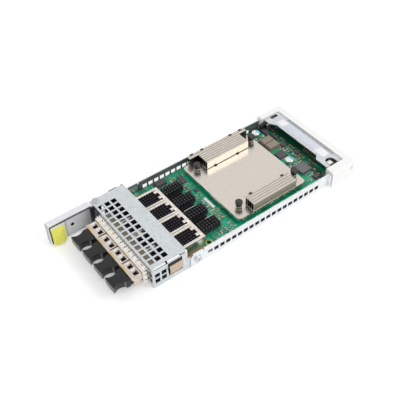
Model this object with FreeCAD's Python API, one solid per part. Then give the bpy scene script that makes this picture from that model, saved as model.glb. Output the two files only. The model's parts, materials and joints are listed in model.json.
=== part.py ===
import FreeCAD, Part
import os

from FreeCAD import Vector

# Hot-swap network adapter module, in millimetres: +Z up, ports towards -Y, lever on the -X side.
# Depths (Y) are counted from the bezel's front face and heights (Z) from the tray's underside.
# At the end every piece is moved back so that the origin is the middle of the tray's underside.

# Tray, folded from sheet steel
tray_sheet = 1.0
tray_bend = 1.6
tray_width = 78.8
rail_height = 11.5
rail_setback = 1.9
rail_rear = 151.5
lip_reach = 1.8
lip_low = 1.6
ear_length = 9.8
ear_notch_width = 1.0
ear_notch_height = 1.6
ear_corner = 2.0

# Square perforation shared by the bezel and the rails
pitch = 5.0
hole = 3.7
rail_window_length = 3.7
rail_window_height = 3.2
rail_window_level = 5.6
first_rail_window_inset = 15.7
rail_end_margin = 10.0

# Bezel, folded from thinner sheet
sheet = 0.8
bezel_bend = 1.0
bezel_height = 18.0
bezel_depth = 26.6
top_margin = 5.0
top_rows = 3
top_grid_middle = 2.0
top_rear_row = 13.2
side_first_column = 3.3
side_low_row = 5.9
front_right_margin = 3.95
front_right_web = 0.775
front_left_margin = 8.95
front_left_web = 0.5
front_left_low_row = 5.0
tab_length = 11.0
tab_height = 9.0
seam_gap = 0.3
relief_depth = 10.8
relief_width = 1.2
fold_gap = 0.2

# Side springs in the bezel walls
spring_front = 12.1
spring_width = 10.0
spring_low = 4.2
spring_top_inset = 2.6
spring_bulge = 1.7
spring_strip = 0.25
spring_foot = 1.5
spring_window_margin = 0.5

# Screws at the front ears
screw_setback = 7.3
screw_level = 5.6
screw_head_radius = 2.7
screw_head_height = 1.2
screw_radius = 1.25
screw_cross_width = 0.6
screw_cross_length = 2.4
thread_clearance = 0.05
screw_hole_clearance = 0.3

# Ejector lever, its pivot, liner and button
pivot_inset = 3.9
pivot_y = 3.4
pivot_radius = 1.5
pivot_head_radius = 2.8
pivot_head_height = 0.7
pivot_clearance = 0.05
lever_bend = 1.2
lever_width = 5.8
lever_tip = -34.6
lever_root = -1.6
lever_gap = 0.2
lever_ear_radius = 3.0
lever_hub_web = 1.4
lever_bay_depth = 9.4
lever_bay_gap = 0.4
liner_gap = 1.3
liner_end_gap = 0.8
liner_plate = 1.0
liner_plate_setback = 1.0
liner_block_length = 11.0
liner_hole_radius = 0.9
liner_hole_from_tip = 17.8
latch_width = 9.4
latch_height = 12.2
latch_rise = 0.4
latch_depth = 3.0
latch_proud = 2.4
latch_peak = 3.8
latch_end_proud = 2.0
latch_bevel = 3.6
latch_clearance = 0.15
latch_wall = 0.6
rib_count = 4
rib_pitch = 1.25
rib_radius = 0.4
rib_length = 7.0
button_spring_radius = 2.0
button_spring_wire = 0.5

# Board
board_thickness = 1.6
board_level = 3.0
board_edge_gap = 1.2
board_front = 1.2
board_rear_gap = 1.1
board_lever_gap = 3.6
mount_hole_radius = 1.6
bare_hole_inset = 5.1
bare_hole_setback = 3.6
fixed_hole_front_inset = 7.6
fixed_hole_front_y = 20.0
fixed_hole_rear_inset = 4.2
fixed_hole_rear_setback = 6.0
standoff_radius = 2.8
standoff_bore = 1.2
board_screw_head_radius = 2.4
board_screw_head_height = 1.1
board_screw_radius = 1.15
board_screw_grip = 0.9

# Port cage and what plugs into it
port_count = 4
cage_sheet = 0.4
cage_divider = 0.5
cage_front = -4.5
cage_rear = 45.0
cage_headroom = 2.6
cage_opening_gap = 0.3
roof_window_width = 10.4
roof_window_length = 35.2
roof_window_setback = 2.4
collar_sheet = 0.35
collar_front_setback = 0.3
collar_bezel_gap = 0.1
collar_band = 1.0
collar_slot = 0.7
collar_fingers_per_port = 3
collar_bow = 0.45
connector_width = 10.0
connector_end_gap = 0.4
connector_length = 5.8
connector_height = 6.4
connector_gap = 0.2
module_side_gap = 0.225
module_floor_gap = 0.1
module_roof_gap = 0.55
module_head = 6.3
module_end_gap = 0.8
card_width = 9.2
card_thickness = 1.0
card_length = 4.4
card_clearance = 0.1
port_mouth_width = 11.0
port_mouth_low = 1.2
port_mouth_roof = 1.75
port_mouth_depth = 7.4
head_window_spacing = 6.4
head_window_width = 4.4
head_window_length = 3.2
head_window_setback = 3.3
bail_strip = 0.35
bail_bar = 1.0
bail_bar_height = 1.6
bail_gap = 0.1
bail_arm_rear = 3.8
bail_arm_low = 3.5
bail_arm_width = 1.7

# Dust plugs
plug_length = 12.2
plug_side_gap = 3.0
plug_waist_depth = 1.9
plug_thickness = 3.7
plug_block_length = 3.3
plug_block_thickness = 6.6
plug_drop = 1.15
plug_bail_gap = 0.2
plug_insert_clearance = 0.15
plug_insert_depth = 6.0
plug_nose = 0.25

# Heat sinks that ride in the cage roof, and their clips
rider_clearance = 0.3
rider_gap = 0.05
rider_base = 1.1
rider_pin_height = 0.6
rider_columns = 5
rider_rows = 16
rider_pin = 1.1
rider_bare_end = 2.2
clip_sheet = 0.3
clip_finger_spacing = 6.0
clip_finger_width = 2.4
clip_finger_reach = 2.0
clip_foot = 1.6

# Small black heat sinks behind the cage
phy_shift = -3.85
phy_setback = 3.6
phy_chip_width = 7.4
phy_chip_length = 12.0
phy_chip_height = 1.4
phy_sink_width = 8.0
phy_sink_length = 14.4
phy_sink_base = 1.2
phy_sink_height = 5.0
phy_columns = 4
phy_rows = 7
phy_pin = 1.2

# Main chip, heat sink plate, fin stacks and push pins
plate_left_inset = 4.2
plate_right_inset = 4.8
plate_front_gap = 11.0
plate_rear_gap = 1.8
plate_thickness = 2.4
plate_corner = 3.0
chip_size = 35.0
chip_substrate = 1.2
chip_lid_size = 27.0
chip_lid = 1.2
fin_sheet = 0.35
fin_pitch = 2.13
fin_gap = 0.2
fin_drop = 2.0
left_fins = 7
left_long_fins = 2
left_overhang = 2.2
left_front_inset = 5.5
left_rear_inset = 2.5
left_room_front = 5.8
left_room_rear = 6.6
right_fins = 5
right_room_front = 5.4
right_room_rear = 6.4
fin_key_length = 2.4
fin_key_width = 1.0
left_key_inset = 2.8
left_key_spacing = 9.4
right_key_inset = 3.8
pin_left_inset = 7.8
pin_right_inset = 9.7
pin_front_inset = 7.6
pin_rear_inset = 3.0
pin_radius = 1.3
pin_hole_radius = 1.7
pin_head_radius = 2.6
pin_head_height = 2.2
pin_barb_radius = 1.9
pin_barb_length = 1.3
pin_spring_length = 3.8
pin_spring_radius = 2.2
pin_spring_wire = 0.5

# Other components on the board
can_radius = 3.15
can_height = 6.0
can_base = 6.6
can_base_height = 0.8
can_setback = 12.3
can_places = (-29.0, 9.4)
inductor_width = 6.0
inductor_length = 9.8
inductor_height = 4.4
inductor_chamfer = 0.7
inductor_setback = 14.0
inductor_left = -22.8
inductor_spacing = 6.5
capacitor_length = 1.6
capacitor_width = 0.9
capacitor_height = 0.8
capacitor_pitch = 2.0
edge_row_inset = 1.8
edge_row_length = 6.0
bracket_row_inset = 2.3
bracket_row_length = 4.0
rail_row_pitch = 9.5
rail_row_front = 22.0
rail_row_length = 28.5
bare_hole_row_pitch = 3.2
bare_hole_row_front = 6.4
bare_hole_row_length = 6.4
bare_hole_row_shift = 1.7
converter_inset = 4.2
switch_inset = 4.0

# Rear guard, bracket, connector and guide socket
guard_overhang = 2.4
guard_arm = 7.2
guard_left_arm = 5.4
guard_gap = 1.1
guard_depth = 23.0
guard_wall = 6.0
guard_height = 13.1
guard_skin = 1.4
guard_round = 1.2
guard_slot_inset = 3.6
guard_slot_level = 8.0
guard_slot_width = 0.9
guard_slot_height = 3.6
bracket_sheet = 1.0
bracket_level = 11.0
bracket_depth = 11.6
bracket_wing_depth = 15.0
bracket_wing_reach = 7.4
bracket_left_wing = 5.8
bracket_chamfer = 3.0
bracket_left_chamfer = 5.4
bracket_end_gap = 0.4
bracket_right_gap = 1.2
bracket_slot_front_inset = 2.0
bracket_slot_rear_inset = 3.1
bracket_slot_width = 2.8
bracket_slot_edge = 0.5
tongue_gap = 0.6
guide_inset = 5.2
notch_radius = 3.8
notch_shift = 0.5
notch_setback = 7.9
guide_block_width = 5.4
guide_block_height = 5.8
guide_bore_radius = 2.1
guide_bore_rise = 2.9
guide_end_wall = 1.5
guide_window = 5.6
guide_depth = 10.6
backplane_left_gap = 8.6
backplane_guide_gap = 6.7
backplane_depth = 5.0
backplane_height = 6.0
backplane_nose = 1.0
backplane_slot_height = 2.4
backplane_slot_margin = 2.0
backplane_slot_depth = 7.0
guard_opening_gap = 0.4

# How far a cutter passes beyond the face that it cuts
through = 1.0

# Widths that follow from the ones above
tray_half = tray_width / 2
bezel_half = tray_half - tray_sheet
floor_front_half = bezel_half - sheet - fold_gap
top_columns = int((2 * bezel_half - 2 * top_margin) / pitch)
lever_outer = -tray_half
lever_inner = lever_outer + lever_width
lever_edge = lever_inner + lever_bay_gap
pivot_x = lever_outer + pivot_inset
cage_left = lever_edge + front_left_margin
cage_right = bezel_half - sheet - front_right_margin
ports_middle = (cage_left + cage_right) / 2
cage_width = cage_right - cage_left - 2 * cage_opening_gap
port_pitch = (cage_width - 2 * cage_sheet + cage_divider) / port_count
port_width = port_pitch - cage_divider
module_width = port_width - 2 * module_side_gap
front_left_columns = int(front_left_margin / (hole + front_left_web))
port_places = [ports_middle + port_pitch * (n - (port_count - 1) / 2) for n in range(port_count)]
phy_places = [place + phy_shift for place in port_places]
board_half = tray_half - tray_sheet - board_edge_gap
board_lever_notch_x = lever_inner + board_lever_gap
plate_left = plate_left_inset - board_half
plate_right = board_half - plate_right_inset
left_start = plate_left - left_overhang
right_start = plate_right - right_fins * fin_pitch
guard_width = tray_width + 2 * guard_overhang
guard_inner = guard_width / 2 - guard_arm
guard_inner_left = guard_left_arm - guard_width / 2
bracket_left = guard_inner_left + bracket_end_gap
bracket_right = guard_inner - bracket_right_gap
bracket_leg = bracket_end_gap - guard_inner
guide_x = guard_inner - guide_inset
notch_x = guide_x + notch_shift
bracket_wing_left = guide_x - bracket_wing_reach
backplane_left = backplane_left_gap - guard_inner
backplane_right = guide_x - guide_block_width / 2 - backplane_guide_gap

# Heights that follow
tab_low = tray_bend + fold_gap
board_top = board_level + board_thickness
cage_top = bezel_height - sheet - cage_headroom
module_low = board_top + cage_sheet + module_floor_gap
module_top = cage_top - cage_sheet - module_roof_gap
port_mouth_high = module_top - port_mouth_roof
plug_top = module_top - plug_drop
spring_high = bezel_height - spring_top_inset
front_left_rows = int((bezel_height - 2 * bezel_bend) / pitch)
lever_low = lever_gap
lever_high = bezel_height
plate_level = board_top + chip_substrate + chip_lid
plate_top = plate_level + plate_thickness
fin_top = bezel_height - fin_drop

# Depths that follow, from the front to the rear
module_front = cage_front - module_head
rail_front = bezel_depth + rail_setback
first_rail_window = rail_front + first_rail_window_inset
screw_depth = bezel_depth + screw_setback
connector_front = cage_rear - cage_sheet - connector_end_gap - connector_length
module_rear = connector_front - module_end_gap
roof_window_rear = cage_rear - roof_window_setback
roof_window_front = roof_window_rear - roof_window_length
bare_hole_y = cage_rear + bare_hole_setback
phy_y = cage_rear + phy_setback + phy_sink_length / 2
guard_front = rail_rear + guard_gap
guard_rear = guard_front + guard_depth
guard_inner_rear = guard_rear - guard_wall
can_y = guard_front - can_setback
inductor_front = guard_front - inductor_setback
plate_front = phy_y + phy_sink_length / 2 + plate_front_gap
plate_rear = can_y - can_base / 2 - plate_rear_gap
pin_front = plate_front + pin_front_inset
pin_rear = plate_rear - pin_rear_inset
left_front = plate_front + left_front_inset
left_rear = plate_rear - left_rear_inset
left_short_front = pin_front + left_room_front
left_short_rear = pin_rear - left_room_rear
right_front = pin_front + right_room_front
right_rear = pin_rear - right_room_rear
board_rear = guard_inner_rear - board_rear_gap
tongue_rear = guard_inner_rear - tongue_gap
bracket_front = guard_inner_rear - bracket_depth
bracket_wing_front = guard_inner_rear - bracket_wing_depth
bracket_slot_front = bracket_front + bracket_slot_front_inset
bracket_slot_rear = guard_inner_rear - bracket_slot_rear_inset
notch_y = guard_inner_rear - notch_setback
guide_front = guard_inner_rear - guide_depth
backplane_front = guard_inner_rear - backplane_depth
guard_slot_y = guard_rear - guard_slot_inset
reference_depth = (sheet + fold_gap + tongue_rear) / 2

# Places of holes and push pins that follow
bare_hole_x = board_half - bare_hole_inset
fixed_hole_rear_y = guard_inner_rear - fixed_hole_rear_setback
fixed_hole_rear_right_x = (backplane_right + guide_x - guide_block_width / 2) / 2
fixed_holes = ((fixed_hole_front_inset - board_half, fixed_hole_front_y),
               (fixed_hole_rear_inset - guard_inner, fixed_hole_rear_y),
               (fixed_hole_rear_right_x, fixed_hole_rear_y))
pin_places = [(x, y) for x in (plate_left + pin_left_inset, plate_right - pin_right_inset)
              for y in (pin_front, pin_rear)]

# Chips that lie bare on the board: middle X, distance of the middle in front of the guard or of the
# plate, width, length and height
rear_chips = {
    "driver": (-2.7, 9.4, 7.2, 7.2, 1.4),
    "controller": (18.4, 6.8, 9.6, 9.6, 1.8),
    "sensor": (30.6, 5.3, 3.9, 4.2, 1.8),
    "left switch": (switch_inset - guard_inner, 1.5, 6.8, 3.6, 1.6),
    "left gate": (-20.4, -0.7, 4.0, 2.6, 1.4),
    "middle gate": (-10.5, 0.5, 4.4, 3.8, 1.4),
    "right gate": (2.7, -2.3, 3.8, 3.8, 1.4),
}
front_chips = {
    "left converter": (converter_inset - board_half, 20.0, 5.0, 8.0, 2.4),
    "left memory": (-27.0, 5.1, 8.0, 3.8, 1.2),
    "buffer": (-12.2, 3.4, 3.6, 2.6, 1.0),
}

# Rows of small ceramic capacitors: first and last X, first and last Y, and pitch along the row
left_edge_row = edge_row_inset - board_half
right_edge_row = board_half - edge_row_inset
bracket_row = bracket_leg + bracket_row_inset
bare_hole_row = bare_hole_x + bare_hole_row_shift
bare_hole_row_start = bare_hole_y + bare_hole_row_front
rail_row_start = plate_front + rail_row_front
capacitor_rows = {
    "beside the controller": (8.2, 12.2, guard_front - 5.2, guard_front - 5.2, capacitor_pitch),
    "rear middle": (4.6, 8.6, guard_front - 1.4, guard_front - 1.4, capacitor_pitch),
    "rear middle second": (5.8, 9.8, guard_front + 2.0, guard_front + 2.0, capacitor_pitch),
    "rear right": (14.7, 20.7, guard_front + 3.4, guard_front + 3.4, capacitor_pitch),
    "under the bracket": (3.4, 15.4, guard_front + 8.2, guard_front + 8.2, capacitor_pitch),
    "behind the gates": (-6.6, -2.6, guard_front + 3.2, guard_front + 3.2, capacitor_pitch),
    "behind the inductors": (-17.6, -15.6, guard_front + 3.3, guard_front + 3.3, capacitor_pitch),
    "rear left": (bracket_row, bracket_row + bracket_row_length, guard_front + 4.6, guard_front + 4.6,
                  capacitor_pitch),
    "beside the right rail": (right_edge_row, right_edge_row, rail_row_start,
                              rail_row_start + rail_row_length, rail_row_pitch),
    "behind the small sinks": (-19.0, -15.0, plate_front - 6.8, plate_front - 6.8, capacitor_pitch),
    "front right": (14.6, 20.6, plate_front - 6.6, plate_front - 4.2, capacitor_pitch),
    "by the bare hole": (bare_hole_row, bare_hole_row, bare_hole_row_start,
                         bare_hole_row_start + bare_hole_row_length, bare_hole_row_pitch),
    "left of the small sinks": (left_edge_row, left_edge_row + edge_row_length, plate_front - 12.0,
                                plate_front - 9.3, capacitor_pitch),
}


def box(x, y, z):
    """Block between pairs of limits along X, Y and Z."""
    return Part.makeBox(x[1] - x[0], y[1] - y[0], z[1] - z[0], Vector(x[0], y[0], z[0]))


def about(middle, width):
    """Pair of limits a width apart, centred on a middle."""
    return (middle - width / 2, middle + width / 2)


def rod(radius, start, end):
    """Cylinder from one point to another."""
    axis = end - start
    return Part.makeCylinder(radius, axis.Length, start, axis)


def post(radius, x, y, z):
    """Upright cylinder at a place, between a pair of heights."""
    return rod(radius, Vector(x, y, z[0]), Vector(x, y, z[1]))


def prism(points, along):
    """Flat outline swept along a vector."""
    return Part.Face(Part.makePolygon(list(points) + [points[0]])).extrude(along)


def turned(profile, x, y):
    """Outline of (radius, height) pairs turned about a vertical axis."""
    points = [Vector(radius, 0, height) for radius, height in profile]
    face = Part.Face(Part.makePolygon(points + [points[0]]))
    solid = face.revolve(Vector(0, 0, 0), Vector(0, 0, 1), 360)
    return solid.translated(Vector(x, y, 0))


def mirrored(shape):
    """The same shape on the other side of the middle plane."""
    return shape.mirror(Vector(0, 0, 0), Vector(1, 0, 0))


def joined(first, others):
    """One solid from pieces that meet, without the seams between them."""
    return first.fuse(list(others)).removeSplitter()


def edges_at(solid, **place):
    """Edges whose middle lies at the given x, y or z."""
    found = []
    for edge in solid.Edges:
        middle = edge.CenterOfMass
        if all(abs(getattr(middle, axis) - value) < 1e-6 for axis, value in place.items()):
            found.append(edge)
    return found


def pin_field(x, y, z, columns, rows, pin):
    """Grid of square pins that fills a rectangle from edge to edge."""
    x_step = (x[1] - x[0] - pin) / (columns - 1)
    y_step = (y[1] - y[0] - pin) / (rows - 1)
    pins = []
    for column in range(columns):
        for row in range(rows):
            left = x[0] + column * x_step
            front = y[0] + row * y_step
            pins.append(box((left, left + pin), (front, front + pin), z))
    return pins


def base_tray():
    """Floor and two windowed rails folded from one sheet."""
    length = (rail_front, rail_rear)
    block = box((-tray_half, tray_half), length, (0, rail_height))
    folds = edges_at(block, x=tray_half, z=0) + edges_at(block, x=-tray_half, z=0)
    inner = tray_half - tray_sheet
    space = box((-inner, inner), (rail_front - through, rail_rear + through),
                (tray_sheet, rail_height + through))
    inner_folds = edges_at(space, x=inner, z=tray_sheet) + edges_at(space, x=-inner, z=tray_sheet)
    channel = block.makeFillet(tray_bend, folds)
    channel = channel.cut(space.makeFillet(tray_bend - tray_sheet, inner_folds))
    floor = box((-floor_front_half, floor_front_half), (sheet + fold_gap, rail_front), (0, tray_sheet))
    tongue = box((guard_inner_left, guard_inner), (rail_rear, tongue_rear), (0, tray_sheet))
    lip = box((inner, tray_half + lip_reach), (rail_rear - tray_sheet, rail_rear), (lip_low, rail_height))
    tray = joined(channel, [floor, tongue, lip, mirrored(lip)])
    across = (-tray_width, tray_width)
    cuts = []
    window_count = int((rail_rear - rail_end_margin - first_rail_window) / pitch) + 1
    for n in range(window_count):
        depth = about(first_rail_window + n * pitch, rail_window_length)
        cuts.append(box(across, depth, about(rail_window_level, rail_window_height)))
    notch = (rail_front + ear_length, rail_front + ear_length + ear_notch_width)
    cuts.append(box(across, notch, (rail_height - ear_notch_height, rail_height + through)))
    corner = [Vector(-tray_width, rail_front, rail_height - ear_corner),
              Vector(-tray_width, rail_front, rail_height),
              Vector(-tray_width, rail_front + ear_corner, rail_height)]
    cuts.append(prism(corner, Vector(2 * tray_width, 0, 0)))
    ear_hole = screw_radius + screw_hole_clearance
    cuts.append(rod(ear_hole, Vector(-tray_width, screw_depth, screw_level),
                    Vector(tray_width, screw_depth, screw_level)))
    cuts.append(post(pivot_radius + pivot_clearance, pivot_x, pivot_y, (-through, tray_sheet + through)))
    return tray.cut(cuts)


def front_bezel():
    """Perforated hood over the ports, with a tab on each side for the ear screws."""
    block = box((-bezel_half, bezel_half), (0, bezel_depth), (0, bezel_height))
    folds = edges_at(block, x=bezel_half, z=bezel_height) + edges_at(block, x=-bezel_half, z=bezel_height)
    folds += edges_at(block, y=0, z=bezel_height) + edges_at(block, x=bezel_half, y=0)
    inner = bezel_half - sheet
    under = bezel_height - sheet
    hood = block.makeFillet(bezel_bend, folds)
    hood = hood.cut(box((-inner, inner), (sheet, bezel_depth + through), (-through, under)))
    tab = box((inner, bezel_half), (bezel_depth, bezel_depth + tab_length), (tab_low, tab_height))
    hood = joined(hood, [tab, mirrored(tab)])
    across = (-tray_width, tray_width)
    through_front = (-through, 2 * sheet)
    cage_level = (board_top - cage_opening_gap, cage_top + cage_opening_gap)
    cuts = [box((cage_left, cage_right), through_front, cage_level),
            box((-tray_width, lever_edge), (-through, lever_bay_depth), (-through, under))]
    for column in range(top_columns):
        for row in range(top_rows):
            x = top_grid_middle + pitch * (column - (top_columns - 1) / 2)
            y = top_rear_row - pitch * row
            cuts.append(box(about(x, hole), about(y, hole), (under - through, bezel_height + through)))
    for column in range(2):
        for row in range(2):
            level = about(side_low_row + row * pitch, hole)
            depth = about(side_first_column + column * pitch, hole)
            cuts.append(box((inner - through, tray_width), depth, level))
    for row in range(2):
        level = about(side_low_row + row * pitch, hole)
        right_window = (cage_right + front_right_web, inner - front_right_web)
        cuts.append(box(right_window, through_front, level))
    column_gap = (front_left_margin - front_left_columns * hole) / (front_left_columns + 1)
    for column in range(front_left_columns):
        left = lever_edge + column_gap + column * (hole + column_gap)
        for row in range(front_left_rows):
            level = about(front_left_low_row + row * pitch, hole)
            cuts.append(box((left, left + hole), through_front, level))
    spring_depth = (spring_front - spring_window_margin, spring_front + spring_width + spring_window_margin)
    spring_level = (spring_low - spring_window_margin, spring_high + spring_window_margin)
    cuts.append(box(across, spring_depth, spring_level))
    cuts.append(box((inner - through, tray_width), (sheet, relief_depth), (under - seam_gap, under)))
    relief = (relief_depth - relief_width / 2, relief_depth + relief_width / 2)
    cuts.append(box((inner - sheet, tray_width), relief, (under - sheet, bezel_height + through)))
    pivot_level = (under - through, bezel_height + through)
    cuts.append(post(pivot_radius + pivot_clearance, pivot_x, pivot_y, pivot_level))
    cuts.append(rod(screw_radius + thread_clearance, Vector(-tray_width, screw_depth, screw_level),
                    Vector(tray_width, screw_depth, screw_level)))
    return hood.cut(cuts)


def side_spring_right():
    """Bowed leaf whose two feet lie against the inside of the bezel wall."""
    face = bezel_half - sheet
    middle = (spring_low + spring_high) / 2
    back = face - spring_strip

    def bow(offset):
        low = Vector(face - offset, spring_front, spring_low)
        crown = Vector(bezel_half + spring_bulge - offset, spring_front, middle)
        high = Vector(face - offset, spring_front, spring_high)
        return Part.Arc(low, crown, high).toShape()

    def straight(x0, z0, x1, z1):
        return Part.makeLine(Vector(x0, spring_front, z0), Vector(x1, spring_front, z1))

    foot_low = spring_low - spring_foot
    foot_high = spring_high + spring_foot
    outline = [straight(face, foot_low, face, spring_low), bow(0),
               straight(face, spring_high, face, foot_high),
               straight(face, foot_high, back, foot_high),
               straight(back, foot_high, back, spring_high), bow(spring_strip),
               straight(back, spring_low, back, foot_low),
               straight(back, foot_low, face, foot_low)]
    wire = Part.Wire(Part.__sortEdges__(outline))
    return Part.Face(wire).extrude(Vector(0, spring_width, 0))


def bezel_screws():
    """Cross-recessed screws through the ears into the bezel tabs."""
    seat = tray_half

    def point(x):
        return Vector(x, screw_depth, screw_level)

    head = rod(screw_head_radius, point(seat), point(seat + screw_head_height))
    shank = rod(screw_radius, point(board_half + fold_gap), point(seat))
    recess = (seat + screw_head_height / 2, tray_width)
    cross = [box(recess, about(screw_depth, screw_cross_width), about(screw_level, screw_cross_length)),
             box(recess, about(screw_depth, screw_cross_length), about(screw_level, screw_cross_width))]
    screw = joined(head, [shank]).cut(cross)
    return Part.makeCompound([screw, mirrored(screw)])


def ejector_lever():
    """Channel open towards the ports, joggled at its root to two ears round the pivot."""
    block = box((lever_outer, lever_inner), (lever_tip, lever_root), (lever_low, lever_high))
    folds = edges_at(block, x=lever_outer, z=lever_high) + edges_at(block, x=lever_outer, z=lever_low)
    folds += edges_at(block, y=lever_tip, z=lever_high) + edges_at(block, y=lever_tip, z=lever_low)
    folds += edges_at(block, x=lever_outer, y=lever_tip)
    space = box((lever_outer + sheet, lever_inner + through), (lever_tip + sheet, lever_root + through),
                (lever_low + sheet, lever_high - sheet))
    shell = block.makeFillet(lever_bend, folds).cut(space)
    wide = (lever_outer + lever_bend, lever_inner)
    joggle = lever_root - sheet
    upper = bezel_height - sheet - lever_gap - sheet
    lower = tray_sheet + lever_gap
    ears = [box(wide, (joggle, lever_root), (upper, lever_high)),
            box(wide, (joggle, lever_root), (lever_low, lower + sheet))]
    for low in (upper, lower):
        ears.append(box(wide, (joggle, pivot_y), (low, low + sheet)))
        ears.append(post(lever_ear_radius, pivot_x, pivot_y, (low, low + sheet)))
    bore = post(pivot_radius + pivot_clearance, pivot_x, pivot_y, (0, bezel_height))
    return joined(shell, ears).cut(bore)


def lever_hub():
    """Sleeve on the rivet between the lever's ears, with a web forward to the root of the channel."""
    upper = bezel_height - sheet - lever_gap - sheet
    level = (tray_sheet + lever_gap + sheet, upper)
    sleeve = post(lever_ear_radius, pivot_x, pivot_y, level)
    web = box(about(pivot_x, 2 * lever_hub_web), (lever_root - sheet, pivot_y), level)
    bore = post(pivot_radius + pivot_clearance, pivot_x, pivot_y, level)
    return joined(sleeve, [web]).cut(bore)


def lever_pivot_pin():
    """Rivet with a flat head on the bezel and its foot in the tray."""
    profile = [(0, 0), (pivot_radius, 0), (pivot_radius, bezel_height), (pivot_head_radius, bezel_height),
               (pivot_head_radius, bezel_height + pivot_head_height / 2),
               (pivot_head_radius - pivot_head_height / 2, bezel_height + pivot_head_height),
               (0, bezel_height + pivot_head_height)]
    return turned(profile, pivot_x, pivot_y)


def latch_room():
    """Limits of the button along the lever and in height."""
    front = lever_tip + sheet + liner_end_gap
    low = lever_low + sheet + latch_rise
    return (front, front + latch_width), (low, low + latch_height)


def lever_liner():
    """Light insert in the channel: a long wall with an eye, and a block that holds the button."""
    back = lever_outer + sheet
    face = lever_inner
    level = (lever_low + sheet, lever_high - sheet - liner_gap)
    along, height = latch_room()
    block_end = along[0] + liner_block_length
    block = box((back, face), (along[0], block_end), level)
    wall = (face - liner_plate_setback - liner_plate, face - liner_plate_setback)
    plate = box(wall, (block_end, lever_root - sheet - lever_gap), level)
    pocket = box((back + latch_wall, face + through), (along[0] - through, along[1] + latch_clearance),
                 (height[0] - latch_clearance, height[1] + latch_clearance))
    eye = Vector(0, lever_tip + liner_hole_from_tip, (lever_low + lever_high) / 2)
    hole_rod = rod(liner_hole_radius, eye + Vector(wall[0] - through, 0, 0),
                   eye + Vector(wall[1] + through, 0, 0))
    return joined(block, [plate]).cut([pocket, hole_rod])


def lever_latch():
    """Press button: a wedge-shaped thumb face with upright ribs and a bevelled end."""
    along, height = latch_room()
    face = lever_inner
    peak = along[1] - latch_bevel
    outline = [(face - latch_depth, along[0]), (face + latch_proud, along[0]), (face + latch_peak, peak),
               (face + latch_end_proud, along[1]), (face - latch_depth, along[1])]
    button = prism([Vector(x, y, height[0]) for x, y in outline], Vector(0, 0, latch_height))
    slope = (latch_peak - latch_proud) / (peak - along[0])
    rib_low = height[0] + (latch_height - rib_length) / 2
    ribs = []
    for n in range(rib_count):
        y = (along[0] + peak) / 2 + rib_pitch * (n - (rib_count - 1) / 2)
        x = face + latch_proud + slope * (y - along[0])
        ribs.append(rod(rib_radius, Vector(x, y, rib_low), Vector(x, y, rib_low + rib_length)))
    return joined(button, ribs)


def latch_spring():
    """Sleeve in place of the coil behind the button."""
    along, height = latch_room()
    y = sum(along) / 2
    z = sum(height) / 2
    seat = Vector(lever_outer + sheet + latch_wall, y, z)
    back = Vector(lever_inner - latch_depth, y, z)
    inside = button_spring_radius - button_spring_wire
    return rod(button_spring_radius, seat, back).cut(rod(inside, seat, back))


def circuit_board():
    """Board that narrows between the guard's arms and leaves the lever's corner free."""
    rear_half = guard_inner - bracket_end_gap
    step = guard_front - fold_gap
    outline = [(board_lever_notch_x, board_front), (board_half, board_front), (board_half, step),
               (rear_half, step), (rear_half, board_rear), (-rear_half, board_rear), (-rear_half, step),
               (-board_half, step), (-board_half, lever_bay_depth), (board_lever_notch_x, lever_bay_depth)]
    board = prism([Vector(x, y, board_level) for x, y in outline], Vector(0, 0, board_thickness))
    round_holes = [(x, y, mount_hole_radius) for x, y in fixed_holes]
    round_holes.append((bare_hole_x, bare_hole_y, mount_hole_radius))
    round_holes += [(x, y, pin_hole_radius) for x, y in pin_places]
    return board.cut([post(radius, x, y, (0, rail_height)) for x, y, radius in round_holes])


def board_standoffs():
    """Pressed standoffs between the tray and the board."""
    spacers = []
    for x, y in fixed_holes + ((bare_hole_x, bare_hole_y),):
        level = (tray_sheet, board_level)
        spacers.append(post(standoff_radius, x, y, level).cut(post(standoff_bore, x, y, level)))
    return Part.makeCompound(spacers)


def board_screws():
    """Screws that hold the board to its standoffs."""
    low = board_level - board_screw_grip
    top = board_top + board_screw_head_height
    profile = [(0, low), (board_screw_radius, low), (board_screw_radius, board_top),
               (board_screw_head_radius, board_top), (board_screw_head_radius, top), (0, top)]
    return Part.makeCompound([turned(profile, x, y) for x, y in fixed_holes])


def port_cage():
    """Folded cover of the ganged cage: roof with a window over each port, two sides and a rear wall."""
    inner_width = cage_width - 2 * cage_sheet
    cover = box(about(ports_middle, cage_width), (cage_front, cage_rear), (board_top, cage_top))
    cuts = [box(about(ports_middle, inner_width), (cage_front - through, cage_rear - cage_sheet),
                (board_top - through, cage_top - cage_sheet))]
    for x in port_places:
        cuts.append(box(about(x, roof_window_width), (roof_window_front, roof_window_rear),
                        (cage_top - 2 * cage_sheet, cage_top + through)))
    return cover.cut(cuts)


def cage_dividers():
    """Floor of the cage, open under the connectors, and the upright sheets between the ports."""
    inner_width = cage_width - 2 * cage_sheet
    floor = box(about(ports_middle, inner_width), (cage_front, connector_front - connector_gap),
                (board_top, board_top + cage_sheet))
    sheets = [floor]
    for left, right in zip(port_places, port_places[1:]):
        sheets.append(box(about((left + right) / 2, cage_divider), (cage_front, cage_rear - cage_sheet),
                          (board_top + cage_sheet, cage_top - cage_sheet)))
    return Part.makeCompound(sheets)


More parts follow.
